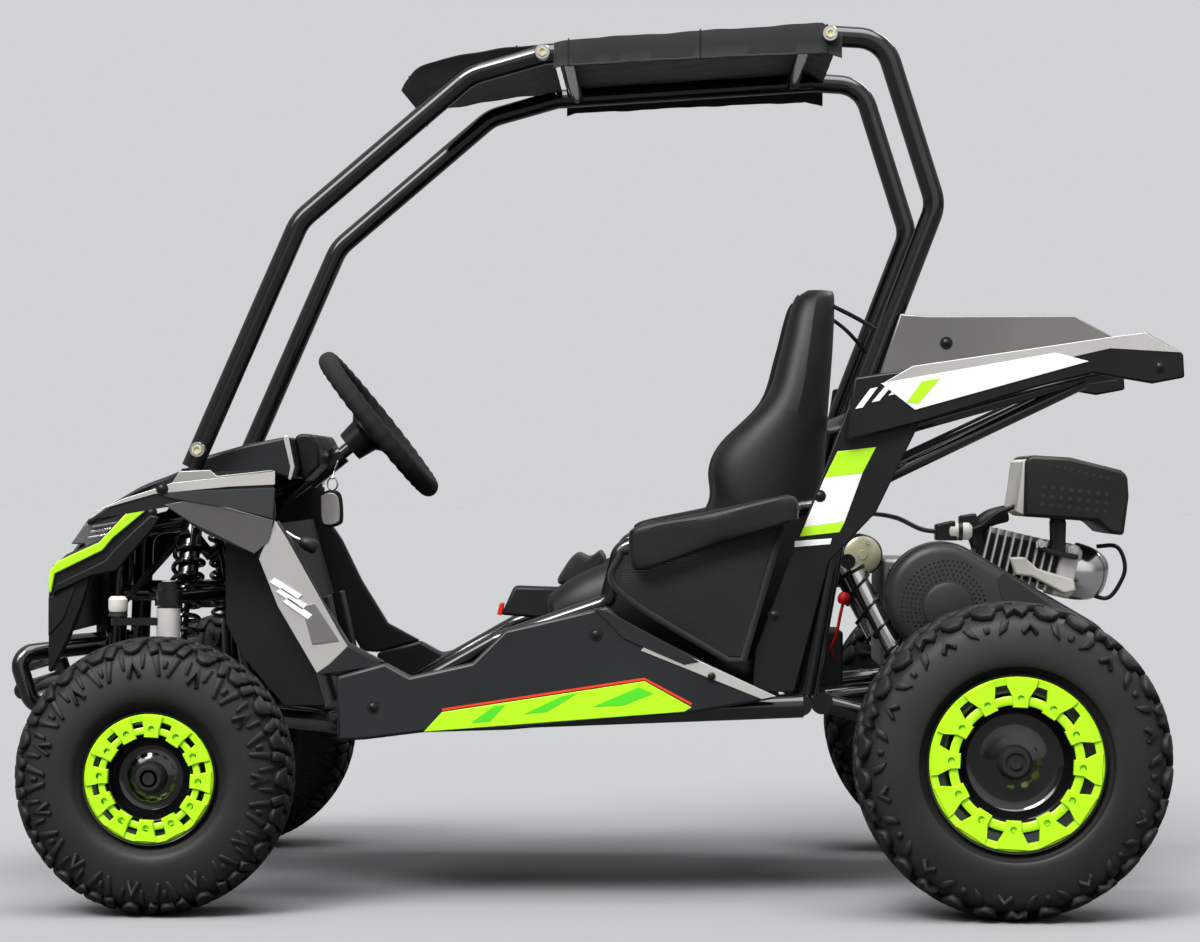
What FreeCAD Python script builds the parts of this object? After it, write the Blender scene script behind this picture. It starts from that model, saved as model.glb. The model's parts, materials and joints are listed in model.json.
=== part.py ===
import FreeCAD, Part
import Sketcher
import math
import os
from FreeCAD import Vector

# An off-road kart with a roll cage.  Forward is -X, the kart's left is -Y, up is +Z.
# X = 0 lies midway between the axles and Z = 0 is the ground.  Millimetres.

doc = FreeCAD.newDocument("kart")
sheet = doc.addObject("Spreadsheet::Sheet", "sizes")

driving = {
    # stance
    "wheelbase": 1100, "front_track": 870, "rear_track": 850,
    "front_tyre_radius": 178, "front_tyre_width": 145,
    "rear_tyre_radius": 203, "rear_tyre_width": 175,
    # wheels
    "front_bead_radius": 76, "front_ring_inner": 56, "front_ring_outer": 82.5,
    "rear_bead_radius": 104, "rear_ring_inner": 70, "rear_ring_outer": 111,
    "bead_inset": 14, "ring_thickness": 8, "barrel_wall": 5, "disc_wall": 6,
    "front_hub_radius": 24, "rear_hub_radius": 30, "disc_depth": 38,
    "hub_reach": 22, "hub_back_inset": 20,
    "shoulder_drop": 45, "shoulder_inset": 9, "crown_inset": 24,
    # running gear
    "axle_radius": 15, "stub_radius": 8, "kingpin_radius": 10, "running_gap": 0.06,
    "kingpin_inset": 105, "lower_eye_height": 250, "lower_eye_tall": 24,
    "upper_eye_height": 392, "upper_eye_tall": 20, "eye_radius": 18,
    "steering_arm_length": 67, "steering_arm_height": 366, "steering_arm_thick": 10,
    "ball_pin_radius": 4, "ball_pin_tall": 30, "rod_radius": 5, "rod_eye_radius": 10,
    "pitman_length": 44, "column_angle": 38.7, "column_length": 300,
    "column_radius": 9, "column_tube_radius": 15,
    "steering_wheel_radius": 132, "steering_rim_radius": 13.5,
    "steering_wheel_ahead": 244, "steering_wheel_height": 634,
    "steering_hub_radius": 34, "steering_hub_tall": 26, "spoke_radius": 8, "pitman_radius": 8,
    "upright_radius": 19, "strut_radius": 15, "wheel_nut_radius": 13, "spacer_radius": 14,
    "axle_overhang": 60, "sprocket_radius": 92, "sprocket_thick": 5, "sprocket_out": 122,
    "brake_disc_radius": 78, "brake_disc_thick": 4, "brake_disc_out": 118,
    "disc_hub_radius": 32, "disc_hub_long": 30,
    "swing_arm_half_width": 200, "swing_leg_radius": 13, "pivot_radius": 15,
    "axle_bearing_radius": 34, "axle_bearing_long": 36, "shock_half_width": 216,
    "shock_body_radius": 10, "shock_coil_radius": 17,
    # frame and cage
    "tube_radius": 14, "rail_radius": 16, "small_tube_radius": 10,
    "cage_half_width": 273, "rail_half_width": 286, "nose_half_width": 110,
    "rail_height": 236, "roof_height": 1127, "roof_rise": 25,
    "pillar_foot_height": 574, "bend_radius": 60, "nose_frame_height": 506,
    "cradle_half_width": 150, "brace_radius": 9, "bumper_half_width": 150, "bumper_radius": 12,
    "guard_radius": 11, "tail_bar_out": 214,
    # bodywork
    "panel_half_width": 335, "panel_thick": 6, "fender_half_width": 330,
    "hood_half_width": 200, "dash_inset": 35, "side_mesh_half_width": 322,
    "canopy_half_width": 300, "canopy_sheet_thick": 6, "seat_half_width": 210,
    "seat_inner_half_width": 140, "tail_half_width": 276, "skirt_thick": 28, "leg_panel_thick": 18,
    "side_mesh_thick": 5, "arm_pad_wide": 38, "pan_thick": 4, "seat_gap": 0.3,
    "liner_thick": 4,
    # drive
    "starter_radius": 28, "starter_long": 110, "engine_long": 142, "engine_wide": 250, "engine_top": 454,
    "cylinder_half_width": 62, "muffler_half_width": 100, "cover_inner": 190, "cover_deep": 70,
    "drive_boss_radius": 40, "seat_mount_long": 260, "seat_mount_wide": 300, "seat_base_height": 316,
    "battery_long": 74, "battery_wide": 160, "battery_tall": 76,
}
aliases = {}


class Size:
    """A length that knows its number and its formula on the sheet."""

    def __init__(self, value, text):
        self.value = value
        self.text = text

    def joined(self, other, sign, value):
        return Size(value, "(%s %s %s)" % (self.text, sign, sized(other).text))

    def __add__(self, other):
        return self.joined(other, "+", self.value + float(other))

    def __sub__(self, other):
        return self.joined(other, "-", self.value - float(other))

    def __mul__(self, other):
        return self.joined(other, "*", self.value * float(other))

    def __truediv__(self, other):
        return self.joined(other, "/", self.value / float(other))

    def __radd__(self, other):
        return sized(other) + self

    def __rsub__(self, other):
        return sized(other) - self

    def __rmul__(self, other):
        return self * other

    def __neg__(self):
        return self * -1

    def __float__(self):
        return float(self.value)


def sized(thing):
    if isinstance(thing, Size):
        return thing
    return Size(float(thing), "(%.6f)" % float(thing))


for row, (alias, number) in enumerate(driving.items(), start=1):
    sheet.set("A%d" % row, alias)
    sheet.set("B%d" % row, str(number))
    sheet.setAlias("B%d" % row, alias)
    aliases[alias] = Size(float(number), "sizes." + alias)
doc.recompute()


def S(alias):
    return aliases[alias]


# Stations that most pieces hang on.
front_axle = S("wheelbase") / -2
rear_axle = S("wheelbase") / 2
front_centre = S("front_track") / 2
rear_centre = S("rear_track") / 2
kingpin_out = front_centre - S("kingpin_inset")
tube = S("tube_radius")
seat_gap = S("seat_gap")
pan_thick = S("pan_thick")
roof_front = front_axle + 490
roof_back = rear_axle - 230
roof_back_height = S("roof_height") + S("roof_rise")
sides = (("left", -1), ("right", 1))
nodes = {}


# ---------------------------------------------------------------- helpers
def node(thing, label):
    thing.Label = label
    nodes[label] = thing
    return thing


def bind(thing, prop, size):
    thing.setExpression(prop, sized(size).text)


def place(thing, x, y, z):
    for axis, size in (("x", x), ("y", y), ("z", z)):
        bind(thing, "Placement.Base." + axis, size)


def new_body(name):
    return doc.addObject("PartDesign::Body", name)


def new_sketch(body, role, offset, points):
    """A closed outline on one of the body's own planes, every corner dimensioned."""
    sketch = body.newObject("Sketcher::SketchObject", body.Name + "_outline")
    plane = [each for each in body.Origin.OriginFeatures if each.Role == role][0]
    sketch.AttachmentSupport = (plane, "")
    sketch.MapMode = "FlatFace"
    bind(sketch, ".AttachmentOffset.Base.z", offset)
    corners = [(sized(x), sized(y)) for x, y in points]
    count = len(corners)
    for index in range(count):
        here = corners[index]
        after = corners[(index + 1) % count]
        sketch.addGeometry(Part.LineSegment(Vector(here[0].value, here[1].value, 0),
                                            Vector(after[0].value, after[1].value, 0)), False)
    for index in range(count):
        sketch.addConstraint(Sketcher.Constraint("Coincident", index, 2, (index + 1) % count, 1))
    for index, corner in enumerate(corners):
        for kind, size in zip(("DistanceX", "DistanceY"), corner):
            number = sketch.addConstraint(Sketcher.Constraint(kind, -1, 1, index, 1, size.value))
            sketch.setExpression("Constraints[%d]" % number, size.text)
    return sketch


def pad(body, sketch, length):
    feature = body.newObject("PartDesign::Pad", sketch.Name + "_pad")
    feature.Profile = sketch
    bind(feature, "Length", length)
    body.Tip = feature
    doc.recompute()
    return feature


def pocket(body, sketch, length, back=False):
    feature = body.newObject("PartDesign::Pocket", sketch.Name + "_pocket")
    feature.Profile = sketch
    feature.Reversed = back
    bind(feature, "Length", length)
    body.Tip = feature
    doc.recompute()
    return feature


def plate(name, points, inner, thick, side):
    """A flat plate in a fore-and-aft plane, its inner face at |Y| = inner."""
    body = new_body(name)
    start = sized(inner) if side < 0 else (sized(inner) + thick) * -1
    pad(body, new_sketch(body, "XZ_Plane", start, points), thick)
    return body


def across(name, points, half_width):
    """A fore-and-aft outline carried right across the kart."""
    body = new_body(name)
    pad(body, new_sketch(body, "XZ_Plane", sized(half_width) * -1, points), sized(half_width) * 2)
    return body


def turned(name, points):
    """A profile of (along Y, radius) turned about the Y axis."""
    body = new_body(name)
    sketch = new_sketch(body, "YZ_Plane", 0, points)
    feature = body.newObject("PartDesign::Revolution", name + "_turn")
    feature.Profile = sketch
    feature.ReferenceAxis = (sketch, ["H_Axis"])
    feature.Angle = 360
    body.Tip = feature
    doc.recompute()
    return body


def rod(name, radius, length, x, y, z, direction):
    """A round bar from a point along a direction."""
    bar = doc.addObject("Part::Cylinder", name)
    bind(bar, "Radius", radius)
    bind(bar, "Height", length)
    bar.Placement.Rotation = FreeCAD.Rotation(Vector(0, 0, 1), Vector(*direction))
    place(bar, x, y, z)
    return bar


def box(name, x, y, z, long, wide, tall):
    """A block between a low corner and its three lengths."""
    block = doc.addObject("Part::Box", name)
    bind(block, "Length", long)
    bind(block, "Width", wide)
    bind(block, "Height", tall)
    place(block, x, y, z)
    return block


def fuse(name, pieces):
    joined = doc.addObject("Part::MultiFuse", name)
    joined.Shapes = pieces
    joined.Refine = True
    return joined


def cut(name, base, tool):
    less = doc.addObject("Part::Cut", name)
    less.Base = base
    less.Tool = tool
    return less


def group(name, pieces):
    both = doc.addObject("Part::Compound", name)
    both.Links = pieces
    return both


def at(x, y, z):
    return Vector(float(x), float(y), float(z))


def path_of(points, bend):
    """Straight runs joined by tangent arcs of one bend radius."""
    edges = []
    start = points[0]
    for before, corner, after in zip(points, points[1:], points[2:]):
        back = (before - corner).normalize()
        onward = (after - corner).normalize()
        half_turn = (math.pi - back.getAngle(onward)) / 2
        reach = bend * math.tan(half_turn)
        middle = corner + (back + onward).normalize() * (bend / math.cos(half_turn) - bend)
        edges.append(Part.LineSegment(start, corner + back * reach).toShape())
        edges.append(Part.Arc(corner + back * reach, middle, corner + onward * reach).toShape())
        start = corner + onward * reach
    edges.append(Part.LineSegment(start, points[-1]).toShape())
    return Part.Wire(edges)


def bent(points, radius, bend=None):
    """A round tube along path_of(points), as one closed solid."""
    spine = path_of(points, float(bend or S("bend_radius")))
    along = (points[1] - points[0]).normalize()
    ring = Part.Wire(Part.makeCircle(float(radius), points[0], along))
    return spine.makePipeShell([ring], True, False)


def straight(start, end, radius):
    return Part.makeCylinder(float(radius), (end - start).Length, start, end - start)


def ring_at(centre, direction, radius, length):
    """A short bar centred on a point."""
    along = Vector(*direction).normalize()
    return Part.makeCylinder(float(radius), float(length), centre - along * (float(length) / 2), along)


def shaped(name, shape):
    """A piece whose tubes bend in space, set from Part's own functions."""
    thing = doc.addObject("Part::Feature", name)
    thing.Shape = shape
    return node(thing, name)


def welded(shapes):
    return shapes[0].fuse(shapes[1:]).removeSplitter()


def coped(shape, *labels):
    """A weldment with its ends trimmed to the pieces that it is welded to."""
    for label in labels:
        shape = shape.cut(nodes[label].Shape)
    return shape


def pair(make):
    """The two mirror-image halves that make(sign) gives."""
    return [make(-1), make(1)]


# ---------------------------------------------------------------- wheels
def add_tyre(name, x, y, radius, width, bead_radius, ring_outer):
    half = width / 2
    bead = half - S("bead_inset")
    seat = ring_outer + 1.5
    points = [(bead * -1, bead_radius), (bead, bead_radius), (bead, seat),
              (half, radius - S("shoulder_drop")), (half - S("shoulder_inset"), radius - 8),
              (half - S("crown_inset"), radius), (S("crown_inset") - half, radius),
              (S("shoulder_inset") - half, radius - 8), (half * -1, radius - S("shoulder_drop")),
              (bead * -1, seat)]
    body = turned(name, points)
    place(body, x, y, radius)
    return node(body, name)


def add_rim(name, x, y, tyre_radius, width, bead_radius, ring_inner, ring_outer,
            hub_radius, bore, side):
    half = width / 2
    bead = half - S("bead_inset")
    inside = bead_radius - S("barrel_wall")
    face = half - S("disc_depth")
    flange = S("disc_wall")
    hub_out = face + S("hub_reach")
    hub_in = half * -1 + S("hub_back_inset")
    points = [(hub_in, bore), (hub_out, bore), (hub_out, hub_radius),
              (face + S("disc_wall"), hub_radius), (face + S("disc_wall"), inside),
              (bead, inside), (bead, ring_inner), (bead + S("ring_thickness"), ring_inner),
              (bead + S("ring_thickness"), ring_outer), (bead, ring_outer),
              (bead, bead_radius), (bead * -1, bead_radius),
              (bead * -1, ring_outer), (bead * -1 - flange, ring_outer),
              (bead * -1 - flange, inside), (face, inside), (face, hub_radius),
              (hub_in, hub_radius)]
    body = turned(name, [(along * side, out) for along, out in points])
    place(body, x, y, tyre_radius)
    return node(body, name)


stub_bore = S("stub_radius") + S("running_gap")
for side_name, side in sides:
    add_tyre(side_name + "_front_tyre", front_axle, front_centre * side, S("front_tyre_radius"),
             S("front_tyre_width"), S("front_bead_radius"), S("front_ring_outer"))
    add_rim(side_name + "_front_rim", front_axle, front_centre * side, S("front_tyre_radius"),
            S("front_tyre_width"), S("front_bead_radius"), S("front_ring_inner"),
            S("front_ring_outer"), S("front_hub_radius"), stub_bore, side)
    add_tyre(side_name + "_rear_tyre", rear_axle, rear_centre * side, S("rear_tyre_radius"),
             S("rear_tyre_width"), S("rear_bead_radius"), S("rear_ring_outer"))
    add_rim(side_name + "_rear_rim", rear_axle, rear_centre * side, S("rear_tyre_radius"),
            S("rear_tyre_width"), S("rear_bead_radius"), S("rear_ring_inner"),
            S("rear_ring_outer"), S("rear_hub_radius"), S("axle_radius") + S("running_gap"), side)

# ---------------------------------------------------------------- rear axle
axle_half = rear_centre + S("axle_overhang")
hub_long = S("disc_hub_long")
rear_parts = [
    rod("axle_bar", S("axle_radius"), axle_half * 2, rear_axle, axle_half * -1,
        S("rear_tyre_radius"), (0, 1, 0)),
    rod("sprocket_disc", S("sprocket_radius"), S("sprocket_thick"), rear_axle, S("sprocket_out") * -1,
        S("rear_tyre_radius"), (0, 1, 0)),
    rod("sprocket_hub", S("disc_hub_radius"), hub_long, rear_axle, S("sprocket_out") * -1,
        S("rear_tyre_radius"), (0, 1, 0)),
    rod("brake_disc", S("brake_disc_radius"), S("brake_disc_thick"), rear_axle, S("brake_disc_out"),
        S("rear_tyre_radius"), (0, 1, 0)),
    rod("brake_hub", S("disc_hub_radius"), hub_long, rear_axle,
        S("brake_disc_out") + S("brake_disc_thick") - hub_long, S("rear_tyre_radius"), (0, 1, 0)),
]
node(fuse("rear_axle", rear_parts), "rear_axle")

# ---------------------------------------------------------------- knuckles and tie rods
arm_top = S("steering_arm_height") + S("steering_arm_thick")
barrel_low = S("lower_eye_height") + S("lower_eye_tall") + 1
barrel_high = S("upper_eye_height") - 1
hub_face = S("kingpin_inset") + S("front_tyre_width") / 2 - S("disc_depth") + S("hub_reach")
hub_back = S("kingpin_inset") - S("front_tyre_width") / 2 + S("hub_back_inset")
stub_reach = hub_face + 9
for side_name, side in sides:
    out = kingpin_out * side
    low = S("front_tyre_radius") - 24
    parts = [
        rod(side_name + "_kingpin", S("kingpin_radius"), S("upper_eye_height")
            + S("upper_eye_tall") + 12 - low, front_axle, out, low, (0, 0, 1)),
        rod(side_name + "_upright", S("upright_radius"), S("lower_eye_height") - 1 - low, front_axle, out, low, (0, 0, 1)),
        rod(side_name + "_strut", S("strut_radius"), barrel_high - barrel_low, front_axle, out, barrel_low, (0, 0, 1)),
        rod(side_name + "_cap_nut", S("strut_radius"), 9, front_axle, out,
            S("upper_eye_height") + S("upper_eye_tall") + 1, (0, 0, 1)),
        rod(side_name + "_stub", S("stub_radius"), stub_reach, front_axle, out,
            S("front_tyre_radius"), (0, side, 0)),
        rod(side_name + "_wheel_nut", S("wheel_nut_radius"), 8, front_axle, out + (stub_reach - 8) * side,
            S("front_tyre_radius"), (0, side, 0)),
        rod(side_name + "_spacer", S("spacer_radius"), hub_back - 1, front_axle, out,
            S("front_tyre_radius"), (0, side, 0)),
        box(side_name + "_steering_arm", front_axle - S("steering_arm_length"), out - 9,
            S("steering_arm_height"), S("steering_arm_length"), 18, S("steering_arm_thick")),
        rod(side_name + "_arm_eye", 9, S("steering_arm_thick"), front_axle - S("steering_arm_length"),
            out, S("steering_arm_height"), (0, 0, 1)),
        rod(side_name + "_ball_pin", S("ball_pin_radius"), S("ball_pin_tall"),
            front_axle - S("steering_arm_length"), out, arm_top - 2, (0, 0, 1)),
    ]
    node(fuse(side_name + "_knuckle", parts), side_name + "_knuckle")

# The column runs from the steering wheel down and forward to the pitman arm.
lean = math.radians(S("column_angle").value)
column_up = Vector(math.cos(lean), 0, math.sin(lean))
pitman_up = Vector(-math.sin(lean), 0, math.cos(lean))
wheel_centre = at(front_axle + S("steering_wheel_ahead"), 0, S("steering_wheel_height"))
column_foot = wheel_centre - column_up * S("column_length").value
rod_height = arm_top + 12
for side_name, side in sides:
    outer = at(front_axle - S("steering_arm_length"), kingpin_out * side, rod_height)
    inner = column_foot + pitman_up * S("pitman_length").value + Vector(0, 24 * side, 0)
    inner = inner - column_up * 22
    bar = straight(outer, inner, S("rod_radius"))
    socket = ring_at(outer, (0, 0, 1), S("rod_eye_radius"), 16)
    bore = ring_at(outer, (0, 0, 1), S("ball_pin_radius") + S("running_gap"), 60)
    shaped(side_name + "_tie_rod", welded([bar, socket, Part.makeSphere(8, inner)]).cut(bore))

# ---------------------------------------------------------------- steering
rim_ring = Part.makeTorus(float(S("steering_wheel_radius") - S("steering_rim_radius")),
                          float(S("steering_rim_radius")), wheel_centre, column_up)
spokes = []
for turn in (90, 210, 330):
    angle = math.radians(turn)
    reach = pitman_up * math.sin(angle) + Vector(0, 1, 0) * math.cos(angle)
    spokes.append(straight(wheel_centre - column_up * 14,
                           wheel_centre + reach * float(S("steering_wheel_radius") - S("steering_rim_radius")),
                           S("spoke_radius")))
hub_drop = S("steering_hub_radius").value
hub = Part.makeCylinder(hub_drop, S("steering_hub_tall").value, wheel_centre - column_up * hub_drop, column_up)
shaped("steering_wheel", welded([rim_ring, hub] + spokes))
shaft = Part.makeCylinder(float(S("column_radius")), S("column_length").value - hub_drop,
                          column_foot, column_up)
pitman = straight(column_foot + column_up * 4, column_foot + column_up * 4
                  + pitman_up * S("pitman_length").value, S("pitman_radius"))
pitman_bar = ring_at(column_foot + column_up * 4 + pitman_up * S("pitman_length").value,
                     (0, 1, 0), S("pitman_radius"), 62)
shaped("steering_shaft", welded([shaft, pitman, pitman_bar]))

# ---------------------------------------------------------------- floor frame
rail = S("rail_radius")
rail_z = S("rail_height")
rail_out = S("rail_half_width")
nose_out = S("nose_half_width")
nose_x = front_axle - 130
rail_front = front_axle + 232
rail_back = rear_axle - 262


def side_rail(sign):
    return bent([at(nose_x, nose_out * sign, rail_z + 6), at(front_axle + 90, nose_out * sign, rail_z),
                 at(rail_front, rail_out * sign, rail_z), at(rail_back, rail_out * sign, rail_z + 26)],
                rail)


def cross_tube(x, z, half, radius=None):
    return straight(at(x, half * -1, z), at(x, half, z), radius or tube)


pan_front = front_axle + 200
pan_back = rail_back - 30
pan_front_z = rail_z + rail + seat_gap
pan_back_z = rail_z + 34


def pan_under(x):
    """Height of the floor pan's underside, which slopes up to the back."""
    share = (float(x) - float(pan_front)) / float(pan_back - pan_front)
    return float(pan_front_z) + share * float(pan_back_z - pan_front_z)


def pan_cross(x):
    return cross_tube(x, pan_under(x) - tube - seat_gap, rail_out)


crosses = [pan_cross(front_axle + 250), pan_cross(0),
           cross_tube(rail_back - 2, rail_z + 26, rail_out),
           cross_tube(front_axle + 60, rail_z, nose_out), cross_tube(nose_x + 16, rail_z + 6, nose_out)]
shaped("floor_frame", welded(pair(side_rail) + crosses))

# Nose frame: uprights at the front and at the firewall, with the column's lower bearing.
bearing = column_foot + column_up * 60
foot_x = front_axle + 22
nose_top = S("nose_frame_height")


def nose_side(sign):
    front_post = bent([at(nose_x + 22, nose_out * sign, rail_z + 6), at(nose_x + 32, nose_out * sign, 490),
                       at(foot_x, nose_out * sign, nose_top + 2)], tube, 30)
    rear_post = straight(at(front_axle + 96, nose_out * sign, rail_z),
                         at(foot_x + 20, nose_out * sign, nose_top + 2), tube)
    return front_post.fuse(rear_post)


pillar_foot = at(foot_x, S("cage_half_width"), S("pillar_foot_height"))


def shoulder(sign):
    foot = Vector(pillar_foot.x, pillar_foot.y * sign, pillar_foot.z)
    return bent([at(foot_x + 10, nose_out * sign, nose_top), at(foot_x + 6, S("cage_half_width") * sign, nose_top),
                 foot], tube, 34)


def bearing_prop(sign):
    return straight(bearing + Vector(0, 14 * sign, 0), at(foot_x + 16, nose_out * sign, nose_top), S("brace_radius"))


collar = Part.makeCylinder(float(S("column_tube_radius")), 40, bearing - column_up * 20, column_up)
collar_bore = Part.makeCylinder(float(S("column_radius") + S("running_gap")), 200,
                                bearing - column_up * 100, column_up)
nose_parts = pair(nose_side) + pair(shoulder) + [cross_tube(foot_x + 10, nose_top, nose_out)]
shaped("nose_frame", coped(welded(nose_parts + pair(bearing_prop) + [collar]).cut(collar_bore), "floor_frame"))

# Upper column tube with its stay to the cowl.
tube_centre = wheel_centre - column_up * 90
upper_collar = Part.makeCylinder(float(S("column_tube_radius")), 60, tube_centre - column_up * 30, column_up)
stay = straight(at(foot_x + 60, 0, 540), tube_centre - column_up * 16, 8)
stay_bar = cross_tube(foot_x + 60, 540, S("cage_half_width") - 40, 9)
stay_drop = [straight(at(foot_x + 60, 90 * sign, 540), at(foot_x + 14, 90 * sign, nose_top + 2), 8) for sign in (-1, 1)]
shaft_bore = Part.makeCylinder(float(S("column_radius") + S("running_gap")), 400, bearing, column_up)
shaped("column_mount", coped(welded([upper_collar, stay, stay_bar] + stay_drop).cut(shaft_bore), "nose_frame"))

# ---------------------------------------------------------------- front suspension arms
def arms(sign):
    x = float(front_axle)
    out_y = float(kingpin_out) * sign
    pieces = []
    for low, tall, spread in (("lower_eye_height", "lower_eye_tall", 78),
                              ("upper_eye_height", "upper_eye_tall", 52)):
        height = float(S(low) + S(tall) / 2)
        eye = ring_at(Vector(x, out_y, height), (0, 0, 1), S("eye_radius"), S(tall))
        legs = [straight(Vector(x, out_y - 6 * sign, height),
                         Vector(x + spread * fore, float(nose_out) * sign, height), S("brace_radius"))
                for fore in (-1, 1)]
        pieces.append(welded([eye] + legs))
    return pieces


def kingpin_bore(sign):
    return Part.makeCylinder(float(S("kingpin_radius") + S("running_gap")), 400,
                             Vector(float(front_axle), float(kingpin_out) * sign, 100))


upper_mounts = [straight(at(front_axle - 92, nose_out * sign, float(S("upper_eye_height") + 10)),
                         at(front_axle + 70, nose_out * sign, float(S("upper_eye_height") + 10)), 11)
                for sign in (-1, 1)]
lower_mounts = [straight(at(front_axle - 92, nose_out * sign, float(S("lower_eye_height") + 12)),
                         at(front_axle + 92, nose_out * sign, float(S("lower_eye_height") + 12)), 11)
                for sign in (-1, 1)]
for index, (side_name, side) in enumerate(sides):
    upper_lower = arms(side)
    both = welded([upper_lower[0], lower_mounts[index]]).fuse(
        welded([upper_lower[1], upper_mounts[index]])).cut(kingpin_bore(side))
    shaped(side_name + "_front_arms", coped(both, "floor_frame", "nose_frame"))

# ---------------------------------------------------------------- roll cage
cage_out = S("cage_half_width")


def front_pillar(sign):
    return bent([at(foot_x, cage_out * sign, S("pillar_foot_height")),
                 at(front_axle + 165, cage_out * sign, S("roof_height") - 223),
                 at(front_axle + 392, cage_out * sign, S("roof_height") - 28),
                 at(roof_front, cage_out * sign, S("roof_height"))], tube)


for side_name, side in sides:
    shaped(side_name + "_front_pillar", coped(front_pillar(side), "nose_frame"))

roof_bars = [straight(at(roof_front, cage_out * sign, S("roof_height")),
                      at(roof_back, cage_out * sign, roof_back_height), tube) for sign in (-1, 1)]
roof_cross = [straight(at(roof_front + along, cage_out * -1, S("roof_height") + rise),
                       at(roof_front + along, cage_out, S("roof_height") + rise), S("small_tube_radius"))
              for along, rise in ((30, 2), (350, 23))]
roof_shape = welded(roof_bars + roof_cross)

plate_foot_x = rear_axle - 262


def rear_leg(sign):
    return bent([at(roof_back, cage_out * sign, roof_back_height),
                 at(rear_axle - 158, cage_out * sign, roof_back_height - 4),
                 at(rear_axle - 88, cage_out * sign, roof_back_height - 224),
                 at(rear_axle - 190, cage_out * sign, 660),
                 at(plate_foot_x + 6, cage_out * sign, rail_z + 40)], tube, 48)


rear_cross = cross_tube(rear_axle - 196, 640, cage_out, tube)
shaped("rear_cage", coped(welded(pair(rear_leg) + [rear_cross]), "floor_frame"))
shaped("roof_bars", coped(roof_shape, "left_front_pillar", "right_front_pillar", "rear_cage"))

# ---------------------------------------------------------------- rear frame
cradle_z = rail_z + 26


def cradle_side(sign):
    inner = S("cradle_half_width") * sign
    lower = straight(at(rail_back, inner, cradle_z), at(rear_axle + 96, inner, 300), tube)
    riser = straight(at(rear_axle + 90, inner, 300), at(rear_axle + 60, inner, 372), tube)
    return lower.fuse(riser)


cradle_cross = [cross_tube(rear_axle + 60, 366, S("cradle_half_width"), 11),
                cross_tube(rear_axle + 90, 300, S("cradle_half_width"))]
shaped("engine_cradle", coped(welded(pair(cradle_side) + cradle_cross), "floor_frame"))


plate_in = S("cage_half_width") + tube + seat_gap
strut_out = plate_in - S("brace_radius") - seat_gap
tail_lap = S("tail_half_width") + 14
tail_outer = tail_lap + S("panel_thick") + seat_gap


def tail_strut(sign):
    return bent([at(rear_axle - 130, strut_out * sign, 630), at(rear_axle - 96, strut_out * sign, 640),
                 at(rear_axle + 116, S("tail_bar_out") * sign, 700),
                 at(rear_axle + 160, S("tail_bar_out") * sign, 706)], S("brace_radius"), 24)


def tail_brace(sign):
    return straight(at(rear_axle - 168, strut_out * sign, 558),
                    at(rear_axle + 116, S("tail_bar_out") * sign, 694), S("brace_radius"))


tail_links = pair(tail_strut) + pair(tail_brace)
tail_cross = [cross_tube(rear_axle + 140, 712, tail_outer - seat_gap, S("brace_radius"))]
shaped("tail_struts", coped(welded(tail_links + tail_cross), "rear_cage"))

# Swing arm: two legs from the pivot tube to the axle's bearings.
axle_at = at(rear_axle, 0, S("rear_tyre_radius"))
pivot_radius = S("pivot_radius")
swing_out = S("swing_arm_half_width").value
shock_out = S("shock_half_width").value
shock_bar_x = axle_at.x - 108
shock_bar_z = axle_at.z + 62
pivot_at = at(rail_back - 2 + tube + pivot_radius + seat_gap, 0, rail_z + 26)


def swing_leg(sign):
    leg = straight(at(pivot_at.x, swing_out * sign, pivot_at.z), at(axle_at.x, swing_out * sign, axle_at.z),
                   S("swing_leg_radius"))
    boss = straight(at(pivot_at.x, (S("cradle_half_width") + tube + seat_gap) * sign, pivot_at.z),
                    at(pivot_at.x, (swing_out + 36) * sign, pivot_at.z), pivot_radius)
    bearing_box = ring_at(at(axle_at.x, swing_out * sign, axle_at.z), (0, 1, 0),
                          S("axle_bearing_radius"), S("axle_bearing_long"))
    return leg.fuse([bearing_box, boss])


shock_bar = cross_tube(shock_bar_x, shock_bar_z, shock_out, S("shock_body_radius"))
axle_bore = ring_at(axle_at, (0, 1, 0), S("axle_radius") + S("running_gap"), 600)
shock_posts = [straight(at(shock_bar_x, swing_out * sign, shock_bar_z),
                        at(shock_bar_x, swing_out * sign, shock_bar_z - 40), S("shock_body_radius"))
               for sign in (-1, 1)]
shaped("swing_arm", coped(welded(pair(swing_leg) + [shock_bar] + shock_posts).cut(axle_bore), "engine_cradle"))


def shock(sign):
    top = at(rear_axle - 200, shock_out * sign, 452)
    low = at(shock_bar_x + 2, (shock_out + 10) * sign, shock_bar_z + 12)
    along = (top - low).normalize()
    body = straight(low + along * 14, top - along * 8, S("shock_body_radius"))
    coil = straight(low + along * 36, top - along * 26, S("shock_coil_radius"))
    ears = [ring_at(low + along * 8, (0, 1, 0), 9, 20), ring_at(top, (0, 1, 0), 11, 22)]
    return welded([body, coil] + ears)


shaped("rear_shocks", coped(Part.makeCompound(pair(shock)), "swing_arm"))

# ---------------------------------------------------------------- bumper
bumper_out = S("bumper_half_width")


def bumper_loop(sign):
    return bent([at(nose_x + 10, (nose_out - 10) * sign, 262), at(front_axle - 212, bumper_out * sign, 246),
                 at(front_axle - 236, bumper_out * sign, 318), at(nose_x + 10, (nose_out - 6) * sign, 330)],
                S("bumper_radius"), 20)


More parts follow.
